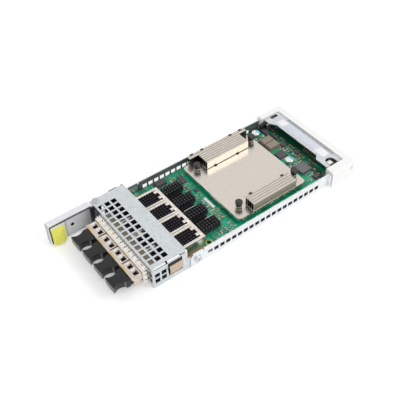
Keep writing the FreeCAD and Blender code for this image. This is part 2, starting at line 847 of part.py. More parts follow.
def cage_collar():
    """Band round the cage in front of the bezel, with a row of bowed spring fingers on each side."""
    front = cage_front + collar_front_setback
    root = front + collar_band
    tip = -collar_bezel_gap
    wide = cage_width + 2 * collar_sheet
    band = box(about(ports_middle, wide), (front, root), (board_top - collar_sheet, cage_top + collar_sheet))
    band = band.cut(box(about(ports_middle, cage_width), (front - through, 0), (board_top, cage_top)))

    def bowed(corner, run, outward):
        def point(y, lift):
            return Vector(corner.x, y, corner.z) + outward * lift

        def arc(lift):
            crown = point((root + tip) / 2, lift + collar_bow)
            return Part.Arc(point(root, lift), crown, point(tip, lift)).toShape()

        def end(y):
            return Part.makeLine(point(y, 0), point(y, collar_sheet))

        outline = Part.__sortEdges__([arc(0), end(tip), arc(collar_sheet), end(root)])
        return Part.Face(Part.Wire(outline)).extrude(run)

    across = Vector(cage_width, 0, 0)
    upright = Vector(0, 0, cage_top - board_top)
    low_left = Vector(ports_middle - cage_width / 2, 0, board_top)
    strips = [bowed(low_left + upright, across, Vector(0, 0, 1)), bowed(low_left, across, Vector(0, 0, -1)),
              bowed(low_left, upright, Vector(-1, 0, 0)), bowed(low_left + across, upright, Vector(1, 0, 0))]
    slot_depth = (root, 1)
    finger = port_pitch / collar_fingers_per_port
    reach = collar_bow + collar_sheet + through
    slots = []
    for n in range(port_count * collar_fingers_per_port + 1):
        x = ports_middle + finger * (n - port_count * collar_fingers_per_port / 2)
        slots.append(box(about(x, collar_slot), slot_depth, (board_top - reach, cage_top + reach)))
    for n in range(int((cage_top - board_top) / finger)):
        z = board_top + finger * (n + 1 / 2)
        slots.append(box(about(ports_middle, 2 * wide), slot_depth, about(z, collar_slot)))
    return joined(band, strips).cut(slots)


def port_connectors():
    """Edge connectors on the board that the modules plug into."""
    blocks = []
    card_level = about((module_low + module_top) / 2, card_thickness + 2 * card_clearance)
    for x in port_places:
        block = box(about(x, connector_width), (connector_front, connector_front + connector_length),
                    (board_top, board_top + connector_height))
        slot = box(about(x, card_width + 2 * card_clearance),
                   (connector_front - through, module_rear + card_length + card_clearance), card_level)
        blocks.append(block.cut(slot))
    return Part.makeCompound(blocks)


def transceiver(x):
    """Module with a windowed head outside the cage and an edge card at the rear."""
    body = box(about(x, module_width), (module_front, module_rear), (module_low, module_top))
    card = box(about(x, card_width), (module_rear, module_rear + card_length),
               about((module_low + module_top) / 2, card_thickness))
    mouth = box(about(x, port_mouth_width), (module_front - through, module_front + port_mouth_depth),
                (module_low + port_mouth_low, port_mouth_high))
    cuts = [mouth]
    middle = module_front + head_window_setback
    for side in (-1, 1):
        window_x = x + side * head_window_spacing / 2
        cuts.append(box(about(window_x, head_window_width), about(middle, head_window_length),
                        (port_mouth_high - through, module_top + through)))
    return joined(body, [card]).cut(cuts)


def transceiver_bail(x):
    """Bail: a bar across the head's front edge and an arm down each side."""
    rear = module_front - bail_gap
    front = rear - bail_bar
    outer = module_width / 2 + bail_strip
    low = module_top - bail_bar_height
    bar = box(about(x, 2 * outer), (front, rear), (low, module_top))
    foot = module_low + bail_arm_low
    pivot = module_front + bail_arm_rear
    outline = [(front, module_top), (rear, module_top), (pivot, foot + bail_arm_width), (pivot, foot),
               (pivot - bail_arm_width, foot), (front, low)]
    arms = []
    for left in (x - outer, x + module_width / 2):
        arms.append(prism([Vector(left, y, z) for y, z in outline], Vector(bail_strip, 0, 0)))
    return joined(bar, arms)


def dust_plug(x):
    """Handle with hollow sides in front of a deep block, and a tongue that fills the module's mouth."""
    inner = module_front - bail_gap - bail_bar - plug_bail_gap
    neck = inner - plug_block_length
    outer = inner - plug_length
    width = port_pitch - plug_side_gap
    low = plug_top - plug_thickness

    def corner(side, inset, y):
        return Vector(x + side * (width / 2 - inset), y, low)

    def hollow(side, start, end):
        return Part.Arc(start, corner(side, plug_waist_depth, (neck + outer) / 2), end).toShape()

    neck_left, neck_right = corner(-1, 0, neck), corner(1, 0, neck)
    outer_left, outer_right = corner(-1, 0, outer), corner(1, 0, outer)
    outline = [Part.makeLine(neck_left, neck_right), hollow(1, neck_right, outer_right),
               Part.Arc(outer_right, Vector(x, outer - plug_nose, low), outer_left).toShape(),
               hollow(-1, outer_left, neck_left)]
    handle = Part.Face(Part.Wire(outline)).extrude(Vector(0, 0, plug_thickness))
    block = box(about(x, width), (neck, inner), (plug_top - plug_block_thickness, plug_top))
    tongue_low = module_low + port_mouth_low + plug_insert_clearance
    tongue_high = port_mouth_high - plug_insert_clearance
    tongue = box(about(x, port_mouth_width - 2 * plug_insert_clearance),
                 (inner, module_front + plug_insert_depth), (tongue_low, tongue_high))
    return joined(handle, [block, tongue])


def rider_limits(x):
    """Footprint of a riding heat sink inside its roof window."""
    return (about(x, roof_window_width - 2 * rider_clearance),
            (roof_window_front + rider_clearance, roof_window_rear - rider_clearance))


def cage_heatsink(x):
    """Pin heat sink that rests on the module through the cage roof."""
    wide, deep = rider_limits(x)
    low = module_top + rider_gap
    top = low + rider_base
    base = box(wide, deep, (low, top))
    pins = pin_field(wide, (deep[0], deep[1] - rider_bare_end), (top, top + rider_pin_height),
                     rider_columns, rider_rows, rider_pin)
    return joined(base, pins)


def cage_clips():
    """Spring clips on the cage roof whose two fingers press on each riding heat sink."""
    clips = []
    seat = module_top + rider_gap + rider_base
    for x in port_places:
        deep = rider_limits(x)[1]
        foot = box(about(x, clip_finger_spacing + clip_finger_width),
                   (roof_window_rear, roof_window_rear + clip_foot), (cage_top, seat + clip_sheet))
        fingers = []
        for side in (-1, 1):
            fingers.append(box(about(x + side * clip_finger_spacing / 2, clip_finger_width),
                               (deep[1] - clip_finger_reach, roof_window_rear), (seat, seat + clip_sheet)))
        clips.append(joined(foot, fingers))
    return Part.makeCompound(clips)


def phy_chips():
    """Chips under the four small heat sinks."""
    chips = []
    for x in phy_places:
        chips.append(box(about(x, phy_chip_width), about(phy_y, phy_chip_length),
                         (board_top, board_top + phy_chip_height)))
    return Part.makeCompound(chips)


def phy_heatsink(x):
    """Small pin heat sink."""
    low = board_top + phy_chip_height
    wide = about(x, phy_sink_width)
    deep = about(phy_y, phy_sink_length)
    base = box(wide, deep, (low, low + phy_sink_base))
    pins = pin_field(wide, deep, (low + phy_sink_base, low + phy_sink_height), phy_columns, phy_rows, phy_pin)
    return joined(base, pins)


def main_chip():
    """Packaged chip with a stepped lid, under the middle of the plate."""
    x = (plate_left + plate_right) / 2
    y = (plate_front + plate_rear) / 2
    lid_low = board_top + chip_substrate
    substrate = box(about(x, chip_size), about(y, chip_size), (board_top, lid_low))
    lid = box(about(x, chip_lid_size), about(y, chip_lid_size), (lid_low, plate_level))
    return joined(substrate, [lid])


def heatsink_base():
    """Plate with rounded corners and a hole for each push pin."""
    plate = box((plate_left, plate_right), (plate_front, plate_rear), (plate_level, plate_top))
    corners = []
    for x in (plate_left, plate_right):
        for y in (plate_front, plate_rear):
            corners += edges_at(plate, x=x, y=y)
    plate = plate.makeFillet(plate_corner, corners)
    return plate.cut([post(pin_hole_radius, x, y, (0, bezel_height)) for x, y in pin_places])


def fin(tip, deep):
    """Sheet fin of C section: an upright wall on its right and two flanges that reach left to the tip."""
    wall = tip + fin_pitch - fin_gap
    inner = wall - fin_sheet
    outline = [(wall, plate_top), (tip, plate_top), (tip, plate_top + fin_sheet),
               (inner, plate_top + fin_sheet), (inner, fin_top - fin_sheet), (tip, fin_top - fin_sheet),
               (tip, fin_top), (wall, fin_top)]
    return prism([Vector(x, deep[0], z) for x, z in outline], Vector(0, deep[1] - deep[0], 0))


def fin_keys(edge, deep, insets):
    """Interlock notches in the upper edge of a fin, at the given insets from both of its ends."""
    keys = []
    for inset in insets:
        for front in (deep[0] + inset, deep[1] - inset - fin_key_length):
            keys.append(box(about(edge, 2 * fin_key_width), (front, front + fin_key_length),
                            ((plate_top + fin_top) / 2, fin_top + through)))
    return keys


def fin_stack_left():
    """Long outer fins and shorter inner ones, which leave room for the push pins."""
    long_run = (left_front, left_rear)
    short_run = (left_short_front, left_short_rear)
    fins = []
    for n in range(left_fins):
        fins.append(fin(left_start + n * fin_pitch, long_run if n < left_long_fins else short_run))
    insets = (left_key_inset, left_key_inset + left_key_spacing)
    fins[0] = fins[0].cut(fin_keys(left_start, long_run, insets))
    return Part.makeCompound(fins)


def fin_stack_right():
    """Fins of one length with a closed wall towards the rail."""
    run = (right_front, right_rear)
    fins = [fin(right_start + n * fin_pitch, run) for n in range(right_fins)]
    fins[0] = fins[0].cut(fin_keys(right_start, run, (right_key_inset,)))
    return Part.makeCompound(fins)


def push_pins():
    """Plastic pins with a broad head, a shank through plate and board, and a barb below."""
    head = plate_top + pin_spring_length
    top = head + pin_head_height
    barb = board_level - pin_barb_length
    profile = [(0, barb), (pin_radius / 2, barb), (pin_barb_radius, board_level), (pin_radius, board_level),
               (pin_radius, head), (pin_head_radius, head), (pin_head_radius, top - pin_head_height / 4),
               (pin_head_radius - pin_head_height / 4, top), (0, top)]
    return Part.makeCompound([turned(profile, x, y) for x, y in pin_places])


def pin_springs():
    """Sleeves in place of the coils between the plate and the pin heads."""
    springs = []
    for x, y in pin_places:
        level = (plate_top, plate_top + pin_spring_length)
        core = post(pin_spring_radius - pin_spring_wire, x, y, level)
        springs.append(post(pin_spring_radius, x, y, level).cut(core))
    return Part.makeCompound(springs)


def can_capacitors():
    """Can capacitors on square plastic bases."""
    cans = []
    for x in can_places:
        foot = board_top + can_base_height
        base = box(about(x, can_base), about(can_y, can_base), (board_top, foot))
        cans.append(joined(base, [post(can_radius, x, can_y, (foot, foot + can_height))]))
    return Part.makeCompound(cans)


def power_inductors():
    """Moulded inductors with bevelled top edges."""
    coils = []
    top = board_top + inductor_height
    for n in range(2):
        left = inductor_left + n * inductor_spacing
        block = box((left, left + inductor_width), (inductor_front, inductor_front + inductor_length),
                    (board_top, top))
        coils.append(block.makeChamfer(inductor_chamfer, edges_at(block, z=top)))
    return Part.makeCompound(coils)


def board_chips():
    """Flat packages with no heat sink."""
    chips = []
    for group, edge in ((rear_chips, guard_front), (front_chips, plate_front)):
        for x, distance, width, length, height in group.values():
            deep = about(edge - distance, length)
            chips.append(box(about(x, width), deep, (board_top, board_top + height)))
    return Part.makeCompound(chips)


def chip_capacitors():
    """Rows of small ceramic capacitors."""
    bodies = []
    for first_x, last_x, first_y, last_y, step in capacitor_rows.values():
        first = Vector(first_x, first_y, 0)
        run = Vector(last_x, last_y, 0) - first
        for n in range(round(run.Length / step) + 1):
            place = first + run * (n * step / run.Length)
            bodies.append(box(about(place.x, capacitor_width), about(place.y, capacitor_length),
                              (board_top, board_top + capacitor_height)))
    return Part.makeCompound(bodies)


def backplane_connector():
    """Rear connector with a long mating slot, which looks out through the guard."""
    rear = guard_rear - backplane_nose
    block = box((backplane_left, backplane_right), (backplane_front, rear),
                (board_top, board_top + backplane_height))
    slot = box((backplane_left + backplane_slot_margin, backplane_right - backplane_slot_margin),
               (rear - backplane_slot_depth, rear + through),
               about(board_top + backplane_height / 2, backplane_slot_height))
    return block.cut(slot)


def guide_socket():
    """White block with a bore for a guide pin, under the bracket's notch."""
    block = box(about(guide_x, guide_block_width), (guide_front, guard_inner_rear),
                (board_top, board_top + guide_block_height))
    level = board_top + guide_bore_rise
    bore = rod(guide_bore_radius, Vector(guide_x, guide_front + guide_end_wall, level),
               Vector(guide_x, guard_inner_rear, level))
    return block.cut(bore)


def rear_bracket():
    """Strip over the connector with a wing at each end, a slot, a round notch and legs on the board."""
    rear = guard_inner_rear
    left_wing_end = bracket_left + bracket_left_wing
    outline = [(bracket_left, bracket_wing_front), (left_wing_end, bracket_wing_front),
               (left_wing_end + bracket_left_chamfer, bracket_front),
               (bracket_wing_left - bracket_chamfer, bracket_front), (bracket_wing_left, bracket_wing_front),
               (bracket_right, bracket_wing_front), (bracket_right, rear), (bracket_left, rear)]
    strip = prism([Vector(x, y, bracket_level) for x, y in outline], Vector(0, 0, bracket_sheet))
    leg_level = (board_top, bracket_level)
    left_leg = box((bracket_leg, bracket_leg + bracket_sheet), (bracket_wing_front, bracket_slot_front),
                   leg_level)
    right_leg = (bracket_right - bracket_sheet, bracket_right)
    notch_room = about(notch_y, 2 * notch_radius)
    front_leg = box(right_leg, (bracket_wing_front, notch_room[0]), leg_level)
    rear_leg = box(right_leg, (notch_room[1], rear), leg_level)
    strip = joined(strip, [left_leg, front_leg, rear_leg])
    cut_level = (bracket_level - through, bracket_level + bracket_sheet + through)
    notch = [post(notch_radius, notch_x, notch_y, cut_level),
             box((notch_x, tray_width), notch_room, cut_level)]
    slot_left = bracket_left + bracket_slot_edge
    slot = box((slot_left, slot_left + bracket_slot_width),
               (bracket_slot_front, bracket_slot_rear), cut_level)
    return strip.cut(notch + [slot])


def rear_guard():
    """Plastic guard, open to the front, with hollow arms and openings for connector and guide."""
    half = guard_width / 2
    block = box((-half, half), (guard_front, guard_rear), (0, guard_height))
    rounded = edges_at(block, x=half, y=guard_rear) + edges_at(block, x=-half, y=guard_rear)
    rounded += edges_at(block, z=guard_height)
    block = block.makeFillet(guard_round, rounded)
    bay = box((guard_inner_left, guard_inner), (guard_front - through, guard_inner_rear),
              (-through, guard_height + through))
    connector = box((backplane_left - guard_opening_gap, backplane_right + guard_opening_gap),
                    (guard_inner_rear - through, guard_rear + through),
                    (board_top - guard_opening_gap, board_top + backplane_height + guard_opening_gap))
    guide = box(about(guide_x, guide_window), (guard_inner_rear - through, guard_rear + through),
                about(board_top + guide_bore_rise, guide_window))
    cuts = [bay, connector, guide]
    for arm in ((guard_inner, half), (-half, guard_inner_left)):
        cuts.append(box((arm[0] + guard_skin, arm[1] - guard_skin),
                        (guard_front + guard_skin, guard_rear - guard_skin),
                        (-through, guard_height - guard_skin)))
    slot = box((half - 2 * guard_skin, half + through), about(guard_slot_y, guard_slot_width),
               about(guard_slot_level, guard_slot_height))
    return block.cut(cuts + [slot, mirrored(slot)])


nodes = {
    "base_tray": base_tray(),
    "front_bezel": front_bezel(),
    "side_spring_right": side_spring_right(),
    "side_spring_left": mirrored(side_spring_right()),
    "bezel_screws": bezel_screws(),
    "ejector_lever": ejector_lever(),
    "lever_hub": lever_hub(),
    "lever_pivot_pin": lever_pivot_pin(),
    "lever_liner": lever_liner(),
    "lever_latch": lever_latch(),
    "latch_spring": latch_spring(),
    "circuit_board": circuit_board(),
    "board_standoffs": board_standoffs(),
    "board_screws": board_screws(),
    "port_cage": port_cage(),
    "cage_dividers": cage_dividers(),
    "cage_collar": cage_collar(),
    "port_connectors": port_connectors(),
    "cage_clips": cage_clips(),
    "phy_chips": phy_chips(),
    "main_chip": main_chip(),
    "heatsink_base": heatsink_base(),
    "fin_stack_left": fin_stack_left(),
    "fin_stack_right": fin_stack_right(),
    "push_pins": push_pins(),
    "pin_springs": pin_springs(),
    "can_capacitors": can_capacitors(),
    "power_inductors": power_inductors(),
    "board_chips": board_chips(),
    "chip_capacitors": chip_capacitors(),
    "backplane_connector": backplane_connector(),
    "guide_socket": guide_socket(),
    "rear_bracket": rear_bracket(),
    "rear_guard": rear_guard(),
}
for number, place in enumerate(port_places, start=1):
    nodes[f"transceiver_{number}"] = transceiver(place)
    nodes[f"transceiver_bail_{number}"] = transceiver_bail(place)
    nodes[f"dust_plug_{number}"] = dust_plug(place)
    nodes[f"cage_heatsink_{number}"] = cage_heatsink(place)
for number, place in enumerate(phy_places, start=1):
    nodes[f"phy_heatsink_{number}"] = phy_heatsink(place)

os.makedirs("parts", exist_ok=True)
for name, shape in nodes.items():
    shape.translated(Vector(0, -reference_depth, 0)).exportStep(f"parts/{name}.step")
print(len(nodes), "pieces; the bezel's front face is at Y =", round(-reference_depth, 3))
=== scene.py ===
# %% [markdown]
# This lesson dresses a network adapter module: a steel tray and bezel round a green circuit board, with
# plug-in optical ports, black and champagne heat sinks and a swinging lever. The solids come ready made
# from the frame, at their real size, so everything here is finish and fine detail laid on top of them.

# %% Load the frame
import json
import math
import random

import bmesh
import bpy
from mathutils import Matrix, Vector

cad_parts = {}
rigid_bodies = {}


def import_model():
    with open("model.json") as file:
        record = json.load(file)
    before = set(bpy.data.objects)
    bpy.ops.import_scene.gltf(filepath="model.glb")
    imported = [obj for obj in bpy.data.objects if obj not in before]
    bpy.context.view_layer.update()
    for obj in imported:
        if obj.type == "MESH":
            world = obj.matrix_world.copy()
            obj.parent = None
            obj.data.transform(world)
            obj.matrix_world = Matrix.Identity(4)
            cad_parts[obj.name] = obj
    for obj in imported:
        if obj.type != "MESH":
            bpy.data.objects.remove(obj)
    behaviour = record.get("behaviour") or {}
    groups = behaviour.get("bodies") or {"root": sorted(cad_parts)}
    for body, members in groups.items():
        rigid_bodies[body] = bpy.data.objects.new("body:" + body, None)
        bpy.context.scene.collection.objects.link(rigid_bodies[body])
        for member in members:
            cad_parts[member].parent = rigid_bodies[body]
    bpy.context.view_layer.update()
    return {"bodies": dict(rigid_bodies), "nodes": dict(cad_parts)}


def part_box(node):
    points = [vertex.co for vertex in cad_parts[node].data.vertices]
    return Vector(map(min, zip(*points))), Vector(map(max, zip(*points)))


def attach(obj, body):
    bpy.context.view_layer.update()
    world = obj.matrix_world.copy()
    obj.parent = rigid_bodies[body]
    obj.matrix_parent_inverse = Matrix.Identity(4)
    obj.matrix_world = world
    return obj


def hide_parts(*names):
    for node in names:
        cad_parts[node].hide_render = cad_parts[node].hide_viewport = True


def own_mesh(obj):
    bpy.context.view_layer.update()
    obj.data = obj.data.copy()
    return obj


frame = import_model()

kept = set(frame["nodes"].values()) | set(frame["bodies"].values())
for leftover in [thing for thing in bpy.data.objects if thing not in kept]:
    bpy.data.objects.remove(leftover)

# %% [markdown]
# The drawing of this module counts widths from the middle, depths from the bezel's front face and heights
# from the tray's underside, all in millimetres. One small function turns such a place into the frame's
# metres, which keeps every later number readable as a ruler reading.

# %% Places in drawing millimetres
mm = 0.001
front_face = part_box("front_bezel")[0].y


def at(x, y, z):
    """A place on the drawing, in millimetres, as a point of the frame."""
    return Vector((x * mm, front_face + y * mm, z * mm))


def drawn(node):
    """Lowest and highest corner of a CAD node, in drawing millimetres."""
    return [Vector((corner.x / mm, (corner.y - front_face) / mm, corner.z / mm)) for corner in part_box(node)]


board_low, board_high = drawn("circuit_board")
board_top = board_high.z
plate_high = drawn("heatsink_base")[1]
ports = range(1, 5)
print("board top at", round(board_top, 2), "mm, plate top at", round(plate_high.z, 2), "mm")

# %% [markdown]
# Colours are written as sRGB hex, the way a paint chart or a photo editor gives them, while the shaders
# count in linear light. The curve between the two is part of the sRGB standard, so one function converts
# every colour of this lesson.

# %% Colours


def colour(code):
    """Linear RGBA from an sRGB hex code."""
    parts = [int(code[n:n + 2], 16) / 255 for n in (1, 3, 5)]
    return [p / 12.92 if p <= 0.04045 else ((p + 0.055) / 1.055) ** 2.4 for p in parts] + [1.0]


print("#808080 is", round(colour("#808080")[0], 3), "in linear light")

# %% [markdown]
# A finish is a small chain of shader nodes. They could be wired by hand in the node editor, but a script can
# be read and changed. One function adds a node with its settings and links in a single call, so a material
# reads from top to bottom like a recipe.

# %% Shader nodes


def add(tree, kind, values=None, links=None, stops=(), **settings):
    """Adds a node: its settings, the values of its inputs, what feeds them, and stops of (place, code)."""
    node = tree.nodes.new("ShaderNode" + kind)
    for name, value in settings.items():
        setattr(node, name, value)
    for name, value in (values or {}).items():
        node.inputs[name].default_value = value
    for name, source in (links or {}).items():
        tree.links.new(source, node.inputs[name])
    if stops:
        elements = node.color_ramp.elements
        while len(elements) < len(stops):
            elements.new(0.5)
        for element, (place, code) in zip(elements, stops):
            element.position = place
            element.color = colour(code)
    return node


def surface(name, values):
    """A new material, its node tree and its surface shader with constant values set."""
    material = bpy.data.materials.new(name)
    material.use_nodes = True
    shader = material.node_tree.nodes["Principled BSDF"]
    for socket, value in values.items():
        shader.inputs[socket].default_value = value
    return material, material.node_tree, shader


print(len(bpy.data.materials), "materials before the first finish")

# %% [markdown]
# Most finishes share one idea: two close tones that wander over grains of a real size, with a shallow
# relief from the same pattern. A moulded plastic, a blasted casting and a drawn sheet differ only in grain,
# tones and gloss, so one function makes them all. A stretch pulls the grain out into brushing lines.

# %% Grained finishes
grain_detail, grain_roughness = 4.0, 0.6
dark_end, light_end = 0.35, 0.65
relief_strength = 0.6


def grained(name, tones, grain, values, relief=0.0, stretch=(1.0, 1.0, 1.0)):
    """A finish of two tones over grains of a size in millimetres, with a relief in millimetres."""
    material, tree, shader = surface(name, values)
    place = add(tree, "TexCoord")
    pulled = add(tree, "Mapping", {"Scale": stretch}, {"Vector": place.outputs["Object"]})
    noise = {"Scale": 1 / (grain * mm), "Detail": grain_detail, "Roughness": grain_roughness}
    pattern = add(tree, "TexNoise", noise, {"Vector": pulled.outputs["Vector"]}).outputs["Fac"]
    tone = add(tree, "ValToRGB", links={"Fac": pattern}, stops=[(dark_end, tones[0]), (light_end, tones[1])])
    tree.links.new(tone.outputs["Color"], shader.inputs["Base Color"])
    if relief:
        bump = add(tree, "Bump", {"Strength": relief_strength, "Distance": relief * mm}, {"Height": pattern})
        tree.links.new(bump.outputs["Normal"], shader.inputs["Normal"])
    return material


def metal(name, tones, grain, roughness, relief=0.0, stretch=(1.0, 1.0, 1.0)):
    """A grained metal, which keeps the shader's own IOR."""
    return grained(name, tones, grain, {"Metallic": 1.0, "Roughness": roughness}, relief, stretch)


def moulded(name, tones, grain, roughness, ior, relief=0.0):
    """A grained plastic, paper, ceramic or lacquer with its IOR."""
    return grained(name, tones, grain, {"Roughness": roughness, "IOR": ior}, relief)


def dress(material, *names):
    """Gives CAD nodes a material."""
    for name in names:
        mesh = frame["nodes"][name].data
        mesh.materials.clear()
        mesh.materials.append(material)
    print(material.name, "on", len(names), "nodes")


print("tones change between", dark_end, "and", light_end, "of the pattern")

# %% [markdown]
# Some finishes change with place: a fin is bright outside and dark in its gaps, and the inside of a wall is
# duller than its outside. One function multiplies yes-or-no tests on place and direction into a mask, and
# mixes a second colour in where all of them hold.

# %% Colours that depend on place
tests = {"<": "LESS_THAN", ">": "GREATER_THAN"}


def recolour(material, code, limits, metallic=None):
    """Mixes a second colour into a material where all limits hold, and makes it less of a metal there.

    A limit is an axis, a test and a number: a place on the drawing in millimetres or, with the word facing
    before the axis, a part of the surface's direction.
    """
    tree = material.node_tree
    inputs = tree.nodes["Principled BSDF"].inputs
    place = add(tree, "TexCoord")
    held = None
    for axis, test, limit in limits:
        facing = axis.startswith("facing")
        number = "XYZ".index(axis[-1])
        axes = add(tree, "SeparateXYZ", links={"Vector": place.outputs["Normal" if facing else "Object"]})
        bound = limit if facing else at(limit, limit, limit)[number]
        passed = add(tree, "Math", {1: bound}, {0: axes.outputs[number]}, operation=tests[test]).outputs[0]
        if held:
            passed = add(tree, "Math", links={0: held, 1: passed}, operation="MULTIPLY").outputs[0]
        held = passed
    before = inputs["Base Color"].links[0].from_socket
    tone = add(tree, "MixRGB", {"Color2": colour(code)}, {"Fac": held, "Color1": before})
    tree.links.new(tone.outputs["Color"], inputs["Base Color"])
    if metallic is not None:
        span = {"To Min": inputs["Metallic"].default_value, "To Max": metallic}
        sheen = add(tree, "MapRange", span, {"Value": held})
        tree.links.new(sheen.outputs["Result"], inputs["Metallic"])
    print(material.name, "changes to", code, "inside", len(limits), "limits")


print("limits can be tested with", *tests)

# %% [markdown]
# The tray, bezel, screws and bracket are zinc plated steel. Hot zinc freezes into flat crystals, a spangle,
# about a millimetre wide here: each crystal has a slightly different grey and gloss. Voronoi cells with
# random tones give exactly that, and a metal keeps the default IOR. The rivet is plated in a barrel with
# other small parts, which leaves it duller than the sheets. The inside of the tray's left wall is painted
# shade, a darker and less metallic grey, and the end face of the lever is painted shade too.

# %% Zinc plated steel
spangle_size = 0.9
spangle_gloss = 0.06


def zinc(name, dark, light, roughness):
    """Plated steel whose crystals differ a little in tone and gloss."""
    material, tree, shader = surface(name, {"Metallic": 1.0})
    place = add(tree, "TexCoord").outputs["Object"]
    wander = add(tree, "TexNoise", {"Scale": 1 / (3 * spangle_size * mm)}, {"Vector": place})
    cells = add(tree, "TexVoronoi", {"Scale": 1 / (spangle_size * mm)}, {"Vector": place})
    grey = add(tree, "SeparateColor", links={"Color": cells.outputs["Color"]})
    blend = add(tree, "Math", links={0: grey.outputs["Red"], 1: wander.outputs["Fac"]}, operation="MULTIPLY")
    tone = add(tree, "ValToRGB", links={"Fac": blend.outputs[0]}, stops=[(0.0, dark), (0.6, light)])
    tree.links.new(tone.outputs["Color"], shader.inputs["Base Color"])
    span = {"To Min": roughness - spangle_gloss, "To Max": roughness + spangle_gloss}
    gloss = add(tree, "MapRange", span, {"Value": grey.outputs["Green"]})
    tree.links.new(gloss.outputs["Result"], shader.inputs["Roughness"])
    return material


steel = zinc("zinc_plated_steel", "#C8CDD0", "#DBE0E2", 0.36)
tray_steel = zinc("tray_zinc_plate", "#DEE1E3", "#F0F1F2", 0.36)
rivet_steel = zinc("barrel_plated_zinc", "#AEB4B8", "#C4CACD", 0.48)
lever_steel = zinc("lever_zinc_plate", "#DEDEE3", "#F0F0F3", 0.42)
bracket_steel = zinc("bracket_zinc_plate", "#CBCED4", "#DEE1E5", 0.38)
# Painted shade: the inside of the tray's left wall is a darker grey and less of a metal.
recolour(tray_steel, "#676E6F", [("X", "<", 0.0), ("facing X", ">", 0.5)], 0.2)
# Painted shade: the lever's end face, which looks to the front, is darker.
recolour(lever_steel, "#B9B8BF", [("facing Y", "<", -0.5)])
dress(steel, "front_bezel", "bezel_screws", "board_screws")
dress(tray_steel, "base_tray")
dress(rivet_steel, "lever_pivot_pin")
dress(lever_steel, "ejector_lever")
dress(bracket_steel, "rear_bracket")

# %% [markdown]
# Thin sheet round the ports is nickel plated and looks warm beside the zinc, while the collar of spring
# fingers is a brighter, whiter strip. The modules are zinc castings under the same nickel, a touch rougher.
# The heat sink plate is aluminium under a satin champagne nickel, rolled along the fins, so its faint grain
# is stretched that way. The side springs are copper alloy leaves, painted dark grey along the top as a
# painted reflection of the dark bezel, where the leaf bows away.

# %% Nickel, champagne and copper
leaf_shade_level = 13.4
nickel = metal("nickel_plated_sheet", ("#DBD2C8", "#EEE7DF"), 2.0, 0.30)
finger_strip = metal("bright_nickel_finger_strip", ("#D8D3C9", "#F0ECE4"), 1.2, 0.28)
casting = metal("nickel_plated_casting", ("#CBBDB2", "#DFD2C8"), 1.2, 0.36, 0.01)
champagne = metal("satin_champagne_nickel", ("#D5CDC3", "#D9D1C8"), 3.0, 0.27, 0.0, (4.0, 0.4, 4.0))
leaf_copper = metal("copper_alloy_leaf", ("#B8A692", "#CEBDAA"), 1.0, 0.34, 0.003, (1.0, 5.0, 1.0))
# Painted reflection: the top of each leaf is dark grey.
recolour(leaf_copper, "#3E3C3A", [("Z", ">", leaf_shade_level)])
dress(nickel, "port_cage", "cage_dividers", "cage_clips")
dress(finger_strip, "cage_collar")
dress(casting, *[f"transceiver_{n}" for n in ports])
dress(champagne, "heatsink_base")
dress(leaf_copper, "side_spring_right", "side_spring_left")

# %% [markdown]
# A stack of folded fins looks bright only on its outside: the tops, the ends of the sheets and the closing
# walls. Light hardly gets into the two-millimetre gaps, so they are painted brown-black as shade. The
# finish tells the two apart by place and by direction: below the top skin, inside the outer walls, and not
# on a face that looks to the front or the back. The right stack's outer wall is painted paler and duller,
# as painted light for the bright reflections it shows.

# %% Fin stacks
fin_skin = 0.35
fin_pitch = 2.13


def fin_metal(name, low, high):
    """Champagne sheet that is bright outside a fin stack, with painted shade in its gaps."""
    material = metal(name, ("#CCC4BA", "#D8D1C8"), 2.4, 0.3)
    # Painted shade: the faces inside the gaps are brown-black.
    recolour(material, "#1B1816", [("X", ">", low.x + fin_pitch), ("X", "<", high.x - fin_skin),
                                   ("Z", "<", high.z - fin_skin),
                                   ("facing Y", "<", 0.5), ("facing Y", ">", -0.5)])
    return material


left_low, left_high = drawn("fin_stack_left")
right_low, right_high = drawn("fin_stack_right")
left_fins = fin_metal("champagne_fins_left", left_low, left_high)
right_fins = fin_metal("champagne_fins_right", right_low, right_high)
# Painted light: the right stack's outer wall is paler and less of a metal, standing in for its bright
# reflections.
recolour(right_fins, "#C6BDAE", [("X", ">", right_high.x - fin_skin / 2), ("facing X", ">", 0.5)], 0.5)
dress(left_fins, "fin_stack_left")
dress(right_fins, "fin_stack_right")

# %% [markdown]
# Each module has a bail, a bent strip that pulls it out of its port. It is beige enamel, and the left of
# every bail is yellower and the right is pale. Four finishes could show that, but one is enough: counted
# in port pitches, its place tells it where on a bail it is.

# %% Bails
port_pitch = drawn("transceiver_2")[0].x - drawn("transceiver_1")[0].x
bail_left = drawn("transceiver_bail_1")[0].x
enamel_tones = [(0.0, "#DCD2C0"), (0.12, "#D8BF7E"), (0.4, "#DCC68C"), (0.55, "#DDD0BA"), (1.0, "#E0D8CC")]
bail_finish, bail_tree, bail_shader = surface("beige_dipped_enamel", {"Roughness": 0.38, "IOR": 1.5})
bail_place = add(bail_tree, "TexCoord")
bail_axes = add(bail_tree, "SeparateXYZ", links={"Vector": bail_place.outputs["Object"]})
bail_turn = add(bail_tree, "Math", {1: 1 / (port_pitch * mm), 2: -bail_left / port_pitch},
                {0: bail_axes.outputs["X"]}, operation="MULTIPLY_ADD")
bail_share = add(bail_tree, "Math", links={0: bail_turn.outputs[0]}, operation="FRACT")
bail_tone = add(bail_tree, "ValToRGB", links={"Fac": bail_share.outputs[0]}, stops=enamel_tones)
bail_tree.links.new(bail_tone.outputs["Color"], bail_shader.inputs["Base Color"])
dress(bail_finish, *[f"transceiver_bail_{n}" for n in ports])
